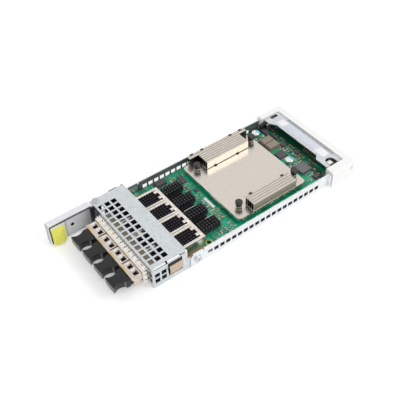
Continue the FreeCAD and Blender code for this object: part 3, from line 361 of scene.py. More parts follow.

# %% [markdown]
# The small heat sinks are black anodised aluminium: the dye sits in a glassy oxide layer, so they are nearly
# black with a soft sheen on the pin tops. On the riding ones that sheen is a painted highlight, a lighter
# tone at the pin tops, and the black between the short pins is painted shade. Push pins, the hub of the
# lever, connectors and chip packages are black moulded plastics, which differ in how coarse and how glossy
# their skin is, and the posts under the board are blackened steel. One black could do for all of them, but
# gloss is what tells black parts apart, so each has a finish of its own.

# %% Black finishes
rider_top = drawn("cage_heatsink_1")[1].z
painted_highlight_depth = 0.1
anodised = grained("black_anodised_aluminium", ("#2C2B30", "#3C3A40"), 0.5,
                   {"Metallic": 0.2, "Roughness": 0.42, "IOR": 1.5}, 0.006)
rider_black = metal("black_anodised_riders", ("#3C3A3F", "#4A484D"), 0.5, 0.45, 0.004)
# Painted highlight and painted shade: the pin tops keep the lighter tone, and everything below them is
# darker.
recolour(rider_black, "#1B191D", [("Z", "<", rider_top - painted_highlight_depth)])
pin_plastic = moulded("black_nylon", ("#232225", "#303033"), 0.8, 0.38, 1.53, 0.008)
epoxy = moulded("chip_moulding_epoxy", ("#454347", "#535155"), 0.35, 0.55, 1.55, 0.01)
connector_plastic = moulded("black_connector_nylon", ("#1C1C1E", "#29292B"), 0.6, 0.45, 1.53, 0.006)
black_oxide = grained("black_oxide_steel", ("#121214", "#1C1C1F"), 0.5, {"Metallic": 0.5, "Roughness": 0.5})
dress(rider_black, *[f"cage_heatsink_{n}" for n in ports])
dress(anodised, *[f"phy_heatsink_{n}" for n in ports])
dress(pin_plastic, "push_pins", "lever_hub")
dress(epoxy, "board_chips", "phy_chips", "main_chip")
dress(connector_plastic, "port_connectors", "backplane_connector")
dress(black_oxide, "board_standoffs")

# %% [markdown]
# Light plastics: the rear guard is white polycarbonate from a finely sparked mould, the guide socket is
# white nylon, painted black round its sides and ends as the shade of the bracket above it, and the release
# button is lime ABS. The power inductors are pressed iron powder, tan and slightly sandy. The socket is one
# solid, so its finish puts the painted shade in by place.

# %% Light plastics and pressed powder
white_plastic = moulded("white_polycarbonate", ("#F6F7F5", "#FCFCFA"), 0.5, 0.48, 1.58, 0.006)
lime = moulded("lime_abs", ("#EDED5E", "#F7F672"), 0.6, 0.42, 1.54, 0.008)
powder = moulded("pressed_iron_powder", ("#7F7363", "#9E9181"), 0.45, 0.6, 1.6, 0.03)
guide_plastic = moulded("white_guide_nylon", ("#F1F2F0", "#F8F8F6"), 0.5, 0.48, 1.53, 0.006)
guide_low, guide_high = drawn("guide_socket")
shade_side, shade_front, unshaded_length = 0.9, 0.7, 3.7
unshaded_rear = guide_low.y + shade_front + unshaded_length
# Painted shade: a black band round the socket's sides and ends.
for limit in (("X", "<", guide_low.x + shade_side), ("X", ">", guide_high.x - shade_side),
              ("Y", "<", guide_low.y + shade_front), ("Y", ">", unshaded_rear)):
    recolour(guide_plastic, "#151517", [limit])
dress(white_plastic, "rear_guard")
dress(guide_plastic, "guide_socket")
dress(lime, "lever_latch")
dress(powder, "power_inductors")

# %% [markdown]
# The liner inside the lever is one moulding: a lavender white block at the tip and a grey wall that runs
# back to the bezel. The wall is painted darker on the way, as shade deeper in the lever, and a dark line of
# painted shade marks the gap where they meet. The change of tone follows the drawing's depth, so it is read
# from the place along the lever and stays put in every view.

# %% Liner of the lever
liner_low, liner_high = drawn("lever_liner")
tip_length = 11.0
split = tip_length / (liner_high.y - liner_low.y)
# Painted shade: a dark stop at the gap, and darker stops towards the bezel.
liner_tones = [(split - 0.02, "#ECECF3"), (split, "#8E90A0"), (split + 0.03, "#E8E8EB"), (0.75, "#D9DADE"),
               (1.0, "#ACADB1")]
liner_plastic, liner_tree, liner_shader = surface("liner_polycarbonate", {"Roughness": 0.42, "IOR": 1.58})
liner_place = add(liner_tree, "TexCoord")
liner_axes = add(liner_tree, "SeparateXYZ", links={"Vector": liner_place.outputs["Object"]})
liner_span = {"From Min": at(0, liner_low.y, 0).y, "From Max": at(0, liner_high.y, 0).y}
liner_depth = add(liner_tree, "MapRange", liner_span, {"Value": liner_axes.outputs["Y"]})
liner_tone = add(liner_tree, "ValToRGB", links={"Fac": liner_depth.outputs["Result"]}, stops=liner_tones)
liner_tree.links.new(liner_tone.outputs["Color"], liner_shader.inputs["Base Color"])
dress(liner_plastic, "lever_liner")

# %% [markdown]
# Pieces that the solids leave out are built as meshes. Blender's bmesh module holds a shape while it is being
# made, and one function then turns the finished shape into an object: it points all faces outward, keeps
# folds over 40 degrees sharp, gives the shape its finishes and lets it ride on a body of the frame, so that
# it moves with that body.

# %% Pieces on a body
sharp_angle = math.radians(40)


def piece(name, shape, materials, body="chassis", replaces=()):
    """Turns a finished shape into an object with its materials, on a body of the frame."""
    bmesh.ops.recalc_face_normals(shape, faces=shape.faces)
    mesh = bpy.data.meshes.new(name)
    shape.to_mesh(mesh)
    shape.free()
    mesh.set_sharp_from_angle(angle=sharp_angle)
    for material in materials:
        mesh.materials.append(material)
    made = bpy.data.objects.new(name, mesh)
    bpy.context.scene.collection.objects.link(made)
    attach(made, body)
    if replaces:
        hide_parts(*replaces)
    print(name, "has", len(mesh.polygons), "faces")
    return made


# %% [markdown]
# The dust plugs are soft black rubber mouldings. Rubber has no knife edges, so each plug's solid is copied,
# its flat faces are cleaned of triangles, and every sharp edge is rounded over. The round edges are what
# catches the light along a black part. The handle's underside is lowered, because the soft handles are
# thicker than the solids show. The front is painted paler, as a painted reflection of the bright floor.

# %% Dust plugs
plug_rounding, rounding_steps, round_profile = 0.35, 3, 0.5
weld, flat_angle = 1e-6, math.radians(1.5)
handle_thickness = 3.7
handle_sag = 1.8
handle_reach = 0.4
rubber = moulded("black_plug_rubber", ("#060509", "#0E0C12"), 0.7, 0.34, 1.47, 0.006)
# Painted reflection: faces that look to the front are a paler grey.
recolour(rubber, "#5E5D60", [("facing Y", "<", -0.55)])


def rounded_copy(node, radius):
    """A CAD node's shape with its sharp edges rounded to a radius in millimetres."""
    shape = bmesh.new()
    shape.from_mesh(frame["nodes"][node].data)
    bmesh.ops.remove_doubles(shape, verts=shape.verts, dist=weld)
    bmesh.ops.dissolve_limit(shape, angle_limit=flat_angle, verts=shape.verts, edges=shape.edges)
    sharp = [e for e in shape.edges if e.is_manifold and e.calc_face_angle() > sharp_angle]
    bmesh.ops.bevel(shape, geom=sharp, offset=radius * mm, segments=rounding_steps, profile=round_profile,
                    affect="EDGES", clamp_overlap=True)
    for face in shape.faces:
        face.smooth = True
    return shape


for n in ports:
    plug = rounded_copy(f"dust_plug_{n}", plug_rounding)
    handle_low = (drawn(f"dust_plug_{n}")[1].z - handle_thickness) * mm
    lowered = [vert for vert in plug.verts if abs(vert.co.z - handle_low) < handle_reach * mm]
    for vert in lowered:
        vert.co.z -= handle_sag * mm
    piece(f"rubber_plug_{n}", plug, [rubber], f"plug_{n}", [f"dust_plug_{n}"])
    print(len(lowered), "corners of the handle lowered by", handle_sag, "mm")

# %% [markdown]
# Two helpers make most of the fine detail. A block has broken edges, as every stamped, cut or moulded thing
# has, and a bevel of two steps is enough at this size. A skin joins rings of corners that follow each other,
# which gives bars, turned profiles and outlines that are drawn out.

# %% Blocks and skins
edge_steps = 2


def block(shape, low, high, finish=0, edge=0.0):
    """Adds a block between two corners in drawing millimetres, with its edges rounded."""
    made = bmesh.ops.create_cube(shape, size=1.0)["verts"]
    start, end = at(*low), at(*high)
    for vert in made:
        vert.co = [end[n] if vert.co[n] > 0 else start[n] for n in range(3)]
    for face in {face for vert in made for face in vert.link_faces}:
        face.material_index = finish
    if edge:
        edges = list({e for vert in made for e in vert.link_edges})
        bmesh.ops.bevel(shape, geom=edges, offset=edge * mm, segments=edge_steps,
                        profile=round_profile, affect="EDGES")


def blocks(shape, rows, finish=0, edge=0.0):
    """Adds blocks from rows of two widths, two depths and two heights in drawing millimetres."""
    for x0, x1, y0, y1, z0, z1 in rows:
        block(shape, (x0, y0, z0), (x1, y1, z1), finish, edge)


def skin(shape, rings, finish=0, smooth=True, closed=True):
    """Adds the faces between rings of corners that follow each other, and closes the two ends if asked."""
    sides = len(rings[0])
    for row, following in zip(rings, rings[1:]):
        for k in range(sides):
            after = (k + 1) % sides
            face = shape.faces.new((row[k], row[after], following[after], following[k]))
            face.material_index = finish
            face.smooth = smooth
    if closed:
        for end in (rings[0][::-1], rings[-1]):
            shape.faces.new(end).material_index = finish


print("broken edges have", edge_steps, "steps")

# %% [markdown]
# Behind each plug, the module's head has two square windows. Their left wall carries a pale slanted wedge
# with a pale lip, painted light where the key lamp falls on that wall, and the back wall and the other
# edges are black. These are thin linings, built from a small outline that is drawn out along the depth. A
# black slot in the right side is where a port's latch takes hold.

# %% Window linings of the module heads
window_width = 4.4
window_length = 3.2
window_spacing = 6.4
window_setback = 3.3
lining_depth = 1.5
lit_wedge_foot = 0.85
lining_play = 0.06
tuck, back_wall, hairline = 0.05, 0.2, 0.02
lip_rise = 0.03
slot_heights = (7.0, 7.8)
foam = grained("black_foam_and_painted_shade", ("#08080A", "#121214"), 0.3,
               {"Roughness": 0.9, "Specular IOR Level": 0.2}, 0.02)
# Painted light: a pale film that stands in for the lit wall of each window.
painted_light_lining = moulded("cream_painted_light", ("#FAF8F3", "#FFFEFA"), 0.6, 0.45, 1.5)


def drawn_out(shape, outline, y0, y1):
    """Adds an outline of (width, height) drawn out along the depth, in drawing millimetres."""
    skin(shape, [[shape.verts.new(at(x, y, z)) for x, z in outline] for y in (y0, y1)], smooth=False)


for n in ports:
    low, high = drawn(f"transceiver_{n}")
    front = low.y + window_setback - window_length / 2
    rear = front + window_length
    top, deep = high.z - lining_play, high.z - lining_depth
    lip = (high.z - tuck, high.z + lip_rise)
    linings = bmesh.new()
    for side in (-1, 1):
        left = (low.x + high.x + side * window_spacing - window_width) / 2
        right, foot = left + window_width, left + lit_wedge_foot
        wedge = [(left + hairline, top), (left + back_wall, top), (foot, deep), (left + hairline, deep)]
        drawn_out(linings, wedge, front + tuck, rear - tuck)
        back = (foot, right - tuck, rear - back_wall, rear - hairline, deep, top)
        bottom = (foot, right - tuck, front + tuck, rear - back_wall, deep - tuck, deep + tuck)
        blocks(linings, [back], finish=1, edge=0.04)
        blocks(linings, [bottom], finish=1, edge=0.03)
        blocks(linings, [(left - 0.5, left + tuck, front + 0.3, rear - 0.1, *lip)], edge=0.02)
        blocks(linings, [(right - tuck, right + 0.4, front - 0.2, rear + 0.25, *lip),
                         (left + 1.7, right, rear - tuck, rear + 0.25, *lip),
                         (left + 2.4, right, front - 0.2, front + tuck, *lip)], finish=1, edge=0.02)
    latch_slot = (high.x - 0.15, high.x + lip_rise, rear + 0.2, rear + 1.9, *slot_heights)
    blocks(linings, [latch_slot], finish=1, edge=0.03)
    piece(f"window_linings_{n}", linings, [painted_light_lining, foam], f"transceiver_{n}")

# %% [markdown]
# A coil or a wire is a circle swept along a path. A curve object could do it, but here a mesh is made ring
# by ring. Some solids hold several springs or chips in one node, so another helper finds the box of each
# loose part, and what is rebuilt there follows the solids when they change.

# %% Round bars and loose parts
bar_sides = 8
steep = 0.9


def circle(sides):
    """Cosine and sine of even turns round a circle."""
    turns = [2 * math.pi * k / sides for k in range(sides)]
    return [(math.cos(turn), math.sin(turn)) for turn in turns]


def bar(shape, path, radius, finish=0):
    """Adds a round bar along a path of points in the frame."""
    rings = []
    for n, point in enumerate(path):
        ahead = (path[min(n + 1, len(path) - 1)] - path[max(n - 1, 0)]).normalized()
        across = ahead.cross(Vector((0, 0, 1)) if abs(ahead.z) < steep else Vector((1, 0, 0))).normalized()
        up = across.cross(ahead)
        offsets = [radius * mm * (c * across + s * up) for c, s in circle(bar_sides)]
        rings.append([shape.verts.new(point + offset) for offset in offsets])
    skin(shape, rings, finish)


def loose_boxes(node):
    """Corners of each loose part of a CAD node, in drawing millimetres, from left to right."""
    shape = bmesh.new()
    shape.from_mesh(frame["nodes"][node].data)
    bmesh.ops.remove_doubles(shape, verts=shape.verts, dist=weld)
    waiting = set(shape.verts)
    boxes = []
    while waiting:
        stack = [waiting.pop()]
        part = []
        while stack:
            vert = stack.pop()
            part.append((vert.co.x / mm, (vert.co.y - front_face) / mm, vert.co.z / mm))
            near = [e.other_vert(vert) for e in vert.link_edges if e.other_vert(vert) in waiting]
            waiting.difference_update(near)
            stack.extend(near)
        boxes.append((Vector(map(min, zip(*part))), Vector(map(max, zip(*part)))))
    shape.free()
    return sorted(boxes, key=lambda box: (round(box[0].x, 3), round(box[0].y, 3)))


print(len(loose_boxes("pin_springs")), "springs on the push pins")

# %% [markdown]
# Two kinds of coil spring are plain sleeves in the solids: one round each push pin, and one behind the
# release button. A helix of drawn wire replaces them. The upper turns of a push pin's coil take the black
# of the pins' nylon.

# %% Coil springs
pin_wire = 0.28
bare_share, bare_turns, black_turns = 0.4, 2, 3
button_wire, button_turns, button_play = 0.12, 3, 0.08
spring_steel = metal("drawn_spring_steel", ("#B9B6B0", "#DAD7D2"), 0.6, 0.25)


def helix(start, end, radius, turns, steps=20):
    """Points of a helix between two ends of its axis."""
    axis = end - start
    side = axis.orthogonal().normalized()
    other = axis.normalized().cross(side)
    count = int(turns * steps)
    points = []
    for k in range(count + 1):
        angle = 2 * math.pi * k / steps
        swing = math.cos(angle) * side + math.sin(angle) * other
        points.append(start + axis * (k / count) + radius * mm * swing)
    return points


pin_coils = bmesh.new()
for low, high in loose_boxes("pin_springs"):
    foot = at((low.x + high.x) / 2, (low.y + high.y) / 2, low.z + pin_wire)
    head = foot + Vector((0, 0, (high.z - low.z - 2 * pin_wire) * mm))
    waist = foot.lerp(head, bare_share)
    radius = (high.x - low.x) / 2 - pin_wire
    bar(pin_coils, helix(foot, waist, radius, bare_turns), pin_wire)
    bar(pin_coils, helix(waist, head, radius, black_turns), pin_wire, finish=1)
piece("push_pin_coils", pin_coils, [spring_steel, pin_plastic], replaces=["pin_springs"])

low, high = drawn("latch_spring")
button_coil = bmesh.new()
seat = at(low.x + button_wire, (low.y + high.y) / 2, (low.z + high.z) / 2)
cap = seat + Vector(((high.x - low.x - 2 * button_wire - button_play) * mm, 0, 0))
bar(button_coil, helix(seat, cap, (high.y - low.y) / 2 - button_wire, button_turns), button_wire)
coil = piece("button_coil", button_coil, [spring_steel], "lever", ["latch_spring"])
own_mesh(coil)

# %% [markdown]
# A black strip of painted shade lies in the gap between the lever's flange and its liner, and turns the
# corner at the tip. From above it reads as a thin black line that outlines the lever. Two long blocks are
# enough for it.

# %% Painted shade in the lever
lever_low, lever_high = drawn("ejector_lever")
sheet = 0.8
lever_shade_left, lever_shade_front = lever_low.x + sheet + 0.1, lever_low.y + sheet + 0.05
lever_shade = bmesh.new()
# Painted shade: black blocks in the gap under the flange and inside the tip.
blocks(lever_shade, [(lever_shade_left, liner_high.x + 0.1, lever_shade_front, liner_high.y - 0.2,
                 liner_high.z + 0.45, lever_high.z - sheet - 0.05),
                (lever_shade_left, liner_high.x - 0.2, lever_shade_front, liner_low.y,
                 liner_low.z, liner_high.z)], edge=0.1)
piece("lever_gasket", lever_shade, [foam], "lever")

# %% [markdown]
# The liner's round eye is lined with black, as painted shade inside the eye. It is a lathe shape, so a
# profile of radius and height is turned about the axis of the eye. The same helper makes the cans and the
# post further back.

# %% Painted shade in the liner's eye


def turned(shape, profile, foot, axis=(0, 0, 1), finish=0, sides=40):
    """Adds a profile of (radius, height) in millimetres turned about an axis through a foot point."""
    along = Vector(axis)
    side = along.orthogonal().normalized()
    other = along.cross(side)
    skin(shape, [[shape.verts.new(foot + mm * (height * along + radius * (c * side + s * other)))
                  for c, s in circle(sides)] for radius, height in profile], finish)


eye_radius, eye_sides = 0.9, 24
eye_depth, eye_y, eye_z = 2.0, -16.8, 9.1
eye_shade_profile = [(-0.05, 0.05), (-0.05, 1.02), (0.35, 1.02), (0.35, 1.14), (-0.1, 1.2), (-0.3, 1.0),
                   (-0.35, 0.4)]
# Painted shade: a black lining inside the eye.
eye_shade = bmesh.new()
turned(eye_shade, [(eye_radius + out, height) for out, height in eye_shade_profile],
       at(liner_high.x - eye_depth, eye_y, eye_z), axis=(1, 0, 0), sides=eye_sides)
piece("eye_grommet", eye_shade, [foam], "lever")

# %% [markdown]
# Inside the bezel little light comes in, and two pieces are painted shade there. A taupe pad lies over the
# front of the port cage, and a black sheet lies on the board's free corner, cut out round a screw, and
# folds up beside the wall. Flat strips with rounded edges are all that these need.

# %% Painted shade over the cage and on the board
taupe_shade = grained("taupe_painted_shade", ("#9A907D", "#BAAF9B"), 0.8,
                     {"Roughness": 0.85, "Specular IOR Level": 0.2}, 0.05)
cage_low, cage_high = drawn("port_cage")
bezel_low, bezel_high = drawn("front_bezel")
roof = cage_high.z
shade_pad_inset, shade_pad_depths, shade_pad_height = 0.3, (1.2, 7.0), 0.6
# Painted shade: a taupe pad over the front of the cage roof.
roof_gasket = bmesh.new()
blocks(roof_gasket, [(cage_low.x + shade_pad_inset, cage_high.x - shade_pad_inset, *shade_pad_depths,
                      roof, roof + shade_pad_height)], edge=0.2)
piece("roof_gasket", roof_gasket, [taupe_shade])

shade_sheet_thickness = 0.2
shade_sheet_left, shade_sheet_right = board_low.x + 0.3, cage_low.x - 1.0
shade_sheet_front, shade_sheet_rear = 9.0, 26.0
shade_sheet_top = board_top + shade_sheet_thickness
screw_x, screw_y, screw_room = -29.6, 20.0, 2.9
hole_left, hole_right = screw_x - screw_room, screw_x + screw_room
strips = [(shade_sheet_left, hole_left, shade_sheet_front, shade_sheet_rear), (hole_right, shade_sheet_right, shade_sheet_front, shade_sheet_rear),
          (hole_left, hole_right, shade_sheet_front, screw_y - screw_room),
          (hole_left, hole_right, screw_y + screw_room, shade_sheet_rear)]
wall = (shade_sheet_left, shade_sheet_left + shade_sheet_thickness, shade_sheet_front, shade_sheet_rear, shade_sheet_top, bezel_high.z - 1.6)
# Painted shade: a black sheet on the board's front left corner, up the wall beside it.
shade_sheet = bmesh.new()
blocks(shade_sheet, [(*strip, board_top, shade_sheet_top) for strip in strips] + [wall], edge=0.05)
piece("corner_film", shade_sheet, [foam])

# %% [markdown]
# A second sheet backs the slots in the right rail: its black outside is painted shade, so that they look
# black from outside, and its pale inside is painted light, so that they look bright from the board. Narrow
# black strips of it close the holes in the bezel's right side and in its front, as painted shade. They lie
# just behind the sheet metal.

# %% Painted shade and light behind slots and holes
rail_slots, rail_first_slot, rail_slot_pitch, rail_half_slot = 20, 49.2, 5.0, 1.9
rail_front, rail_rear = 46.0, 150.0
rail_heights, rail_backing, rail_lining = (1.3, 10.4), (38.25, 38.4), (38.1, 38.25)
side_backing, front_backing = (37.24, 37.34), (1.1, 1.2)
side_strips = ((1.6, 5.8, 8.6), (5.8, 13.4, 15.0), (21.0, 23.4, 15.0))
front_strips = ((-31.6, -24.2, 16.6), (33.7, 37.1, 12.0))
strip_foot = 2.0
slot_places = [rail_first_slot + k * rail_slot_pitch for k in range(rail_slots)]
# Painted shade behind the slots and holes, and painted light on the slots' inner side.
rail_film = bmesh.new()
blocks(rail_film, [(*rail_backing, rail_front, rail_rear, *rail_heights)], edge=0.05)
blocks(rail_film, [(*rail_lining, y - rail_half_slot, y + rail_half_slot, *rail_heights)
                   for y in slot_places], finish=1, edge=0.05)
blocks(rail_film, [(*side_backing, y0, y1, strip_foot, top) for y0, y1, top in side_strips], edge=0.02)
blocks(rail_film, [(x0, x1, *front_backing, strip_foot, top) for x0, x1, top in front_strips], edge=0.02)
piece("rail_film", rail_film, [foam, painted_light_lining])

# %% [markdown]
# Black sealant runs in the seams of the bezel's right bend as thin beads, and two small black plugs in its
# relief notch and open seam are painted shade, where the openings look dark. Short foam strips lie outside
# along the left bend, where the module rubs its bay. Dark paint on the sheet could stand for them, but they
# stand a little proud, so they are shapes of their own.

# %% Sealant and foam at the bends
bend_right, bend_left, bend_top = bezel_high.x, bezel_low.x, bezel_high.z
bead_ends, bead_radius = (1.0, 9.8), 0.16
seam_ends, seam_radius = (21.4, 25.2), 0.3
seam_lines = bmesh.new()
bar(seam_lines, [at(bend_right - 0.05, y, bend_top - 0.85) for y in bead_ends], bead_radius)
bar(seam_lines, [at(bend_right - 0.2, y, bend_top - 0.3) for y in seam_ends], seam_radius)
# Painted shade: two small black plugs in the relief notch and the open seam.
blocks(seam_lines, [
    (bend_right - 1.5, bend_right + 0.04, 10.2, 11.4, bend_top - 1.0, bend_top + 0.04),
    (bend_right - 0.9, bend_right + 0.03, 20.9, 21.7, bend_top - 0.7, bend_top + 0.03)], edge=0.1)
piece("bend_seam", seam_lines, [foam])

edge_strip = bmesh.new()
blocks(edge_strip, [
    (bend_left - 0.5, bend_left + 0.05, 15.2, 21.8, bend_top - 1.4, bend_top - 0.35),
    (bend_left - 0.4, bend_left + 0.05, 24.6, 26.5, bend_top - 1.4, bend_top - 0.4)], edge=0.15)
piece("edge_strip", edge_strip, [foam])

# %% [markdown]
# The fingers of the collar press against the bay's wall through rows of little bumps. They are struck into
# the strip at an even pitch, and each one catches its own point of light, which makes the strip sparkle.
# Relief in the finish could suggest them, but it has no outline, so each is a small block with soft edges.

# %% Bumps on the collar's fingers
finger_low, finger_high = drawn("cage_collar")
bumps_across, bump_margin = 24, 1.0
half_width, half_length, bump_root, bump_rise = 0.75, 0.35, 0.15, 0.26
bump_step = (finger_high.x - finger_low.x - 2 * bump_margin) / (bumps_across - 1)
bump_nickel = metal("polished_nickel", ("#F6F3EC", "#FFFDF8"), 0.8, 0.22)
finger_bumps = bmesh.new()
for y, drop in ((-2.6, 0.16), (-0.9, 0.12)):
    for k in range(bumps_across):
        x = finger_low.x + bump_margin + k * bump_step
        z = finger_high.z - drop
        blocks(finger_bumps, [(x - half_width, x + half_width, y - half_length, y + half_length,
                               z - bump_root, z + bump_rise)], edge=0.1)
piece("finger_bumps", finger_bumps, [bump_nickel])

# %% [markdown]
# Sprung clips hold the riding heat sinks down. On each strip of the roof between two sinks, a row of small
# bright bumps lies on the left, where the clip's wire is pressed, and a thin dark strip beside it is painted
# shade in the groove at the edge of the next cage cell. The bumps could be swept like a wire, but little
# more than their highlights can be seen at this size, and a block with wide soft edges gives those.

# %% Clip bands on the cage's roof
clip_bumps, first_bump, bump_pitch = 26, 8.2, 1.25
bump_length, bump_height = 0.95, 0.5
bump_left, bump_right = 1.75, 0.5
groove_shade_left, groove_shade_right, groove_shade_depths, groove_shade_height = 0.3, 0.05, (8.0, 42.4), 0.15
places = [first_bump + bump_pitch * k for k in range(clip_bumps)]
clip_bands = bmesh.new()
for n in ports[:-1]:
    divider = (drawn(f"cage_heatsink_{n}")[1].x + drawn(f"cage_heatsink_{n + 1}")[0].x) / 2
    blocks(clip_bands, [(divider - bump_left, divider - bump_right, y, y + bump_length,
                         roof, roof + bump_height) for y in places], edge=0.22)
    # Painted shade: a thin dark strip beside the bumps.
    blocks(clip_bands, [(divider - groove_shade_left, divider + groove_shade_right, *groove_shade_depths,
                         roof, roof + groove_shade_height)], finish=1, edge=0.04)
piece("clip_bands", clip_bands, [bump_nickel, connector_plastic])

# %% [markdown]
# The fins are zipped together by keys. On top of the outermost fins the key's black head fills a notch in
# the sheet. A narrow block goes down into the notch and a wider head lies over it, as a pressed-in key does.

# %% Keys of the fin stacks
key_width, key_length, key_foot, key_proud = 1.35, 2.4, 12.7, 0.25
fin_keys = bmesh.new()
for low, high, insets in ((left_low, left_high, (2.8, 12.2)), (right_low, right_high, (3.8,))):
    for y in [y for inset in insets for y in (low.y + inset, high.y - inset - key_length)]:
        rear = y + key_length
        blocks(fin_keys, [(low.x + 0.03, low.x + 0.95, y + 0.03, rear - 0.03, key_foot, high.z)])
        blocks(fin_keys, [(low.x - 0.15, low.x + key_width, y - 0.1, rear + 0.1, high.z, high.z + key_proud)],
               edge=0.08)
piece("fin_keys", fin_keys, [connector_plastic])

# %% [markdown]
# Thin dark seams on top of the stacks show where one folded sheet meets the next. Along the foot of the left
# stack a dark solder fillet joins the wall to the plate, with two thicker lumps where it was fed in. The
# seams are shallow strips, and the fillet is a triangle drawn out along the wall.

# %% Seams and fillet of the fin stacks
solder = grained("flux_stained_solder", ("#2A2622", "#3B352F"), 0.6,
                 {"Metallic": 0.4, "Roughness": 0.5}, 0.02)
short_front, short_rear = 87.4, 125.6
long_fins, left_seams, right_seams, seam_width = 3, 7, 5, 0.3
sheets = [(left_low, left_low.y, left_high.y, left_high.z, range(1, long_fins)),
          (left_low, short_front, short_rear, left_high.z, range(long_fins, left_seams)),
          (right_low, right_low.y, right_high.y, right_high.z, range(1, right_seams))]
seams = bmesh.new()
for low, y0, y1, top, fins in sheets:
    edges = [low.x + fin_pitch * k for k in fins]
    blocks(seams, [(x - seam_width, x, y0, y1, top - 0.06, top + 0.02) for x in edges])
piece("fin_seams", seams, [solder])

lump_places, lump_half, lump_width, lump_height = (94.9, 115.5), 1.2, 0.9, 0.5
wall_foot, plate_top = left_high.x, plate_high.z
fillet = bmesh.new()
drawn_out(fillet, [(wall_foot, plate_top), (wall_foot + 0.5, plate_top), (wall_foot, plate_top + 0.35)],
          short_front, short_rear)
blocks(fillet, [(wall_foot, wall_foot + lump_width, y - lump_half, y + lump_half, plate_top,
                 plate_top + lump_height) for y in lump_places], edge=0.15)
piece("foot_fillet", fillet, [solder])

# %% [markdown]
# The board is glass laminate under green solder mask, a thin lacquer that is darker over bare laminate and
# lighter over copper planes. The planes are drawn as Voronoi fields half a centimetre wide, and a finer
# cloud shows the weave under the lacquer, drawn coarser than real so that it shows at all. Under the rear
# bracket the board is painted darker, as the shade of the bracket.

# %% Solder mask
plane_size = 5.0
weave_size = 1.2
rear_shade_start = 148.5
plane_share = 0.5
mask, mask_tree, mask_shader = surface("green_solder_mask", {"Roughness": 0.42, "IOR": 1.5})
mask_place = add(mask_tree, "TexCoord").outputs["Object"]
planes = add(mask_tree, "TexVoronoi", {"Scale": 1 / (plane_size * mm)}, {"Vector": mask_place},
             distance="CHEBYCHEV")
plane_tone = add(mask_tree, "SeparateColor", links={"Color": planes.outputs["Color"]})
cloud = add(mask_tree, "TexNoise", {"Scale": 1 / (weave_size * mm), "Detail": 5.0}, {"Vector": mask_place})
green = add(mask_tree, "Math", {1: plane_share}, {0: plane_tone.outputs["Red"], 2: cloud.outputs["Fac"]},
            operation="MULTIPLY_ADD")
mask_tones = [(0.3, "#016A4D"), (1.0, "#02B487")]
mask_tone = add(mask_tree, "ValToRGB", links={"Fac": green.outputs[0]}, stops=mask_tones)
mask_tree.links.new(mask_tone.outputs["Color"], mask_shader.inputs["Base Color"])
# Painted shade: the board is darker under the rear bracket.
recolour(mask, "#0A4F39", [("Y", ">", rear_shade_start)])
dress(mask, "circuit_board")

# %% [markdown]
# Copper traces stand a few hundredths of a millimetre proud under the mask and look lighter than the bare
# laminate. They are laid as thin ribbons, and end in round tinned vias. A ribbon and a flat ring are all
# the shapes that are needed, because nothing on this layer is higher than a sheet of paper.

# %% Ribbons and rings of copper
copper_height = 0.04
trace_mask = moulded("mask_over_copper", ("#0A9468", "#11A87B"), 0.8, 0.4, 1.5)
tin = metal("tinned_copper", ("#C9C9C4", "#E6E6E1"), 0.5, 0.28)
gold = metal("gold_plated_copper", ("#C9A24A", "#E2C06A"), 0.5, 0.25)
bare_copper = grained("bare_oxidised_copper", ("#D07C46", "#EA9C62"), 0.8,
                      {"Metallic": 0.25, "Roughness": 0.42})


def ribbon(shape, points, width, finish=0):
    """Adds a flat ribbon on the board along points in drawing millimetres."""
    left, right = [], []
    for n, (x, y) in enumerate(points):
        before = Vector(points[max(n - 1, 0)])
        after = Vector(points[min(n + 1, len(points) - 1)])
        ahead = (after - before).normalized()
        side = Vector((-ahead.y, ahead.x)) * width / 2
        for row, sign in ((left, 1), (right, -1)):
            row.append([shape.verts.new(at(x + sign * side.x, y + sign * side.y, board_top + lift))
                        for lift in (0.0, copper_height)])
    for n in range(len(points) - 1):
        corners = ((left[n][1], right[n][1], right[n + 1][1], left[n + 1][1]),
                   (left[n][0], left[n][1], left[n + 1][1], left[n + 1][0]),
                   (right[n][1], right[n][0], right[n + 1][0], right[n + 1][1]))
        for four in corners:
            shape.faces.new(four).material_index = finish


def ring(shape, x, y, outer, inner, height, finish=0, sides=12):
    """Adds a flat ring on the board at a place in drawing millimetres."""
    rows = [[shape.verts.new(at(x + radius * c, y + radius * s, board_top + lift)) for c, s in circle(sides)]
            for radius, lift in ((outer, 0.0), (outer, height), (inner, height), (inner, 0.0))]
    skin(shape, rows, finish, smooth=False, closed=False)


print("traces stand", copper_height, "mm proud")

# %% [markdown]
# The traces run in bundles along the board and turn through 45 degrees, as a router lays them. A seeded draw
# places the bundles in the fields that stay free. A gold ring lies round the bare mounting hole, and strips
# of bare copper ground the cage beside its walls.

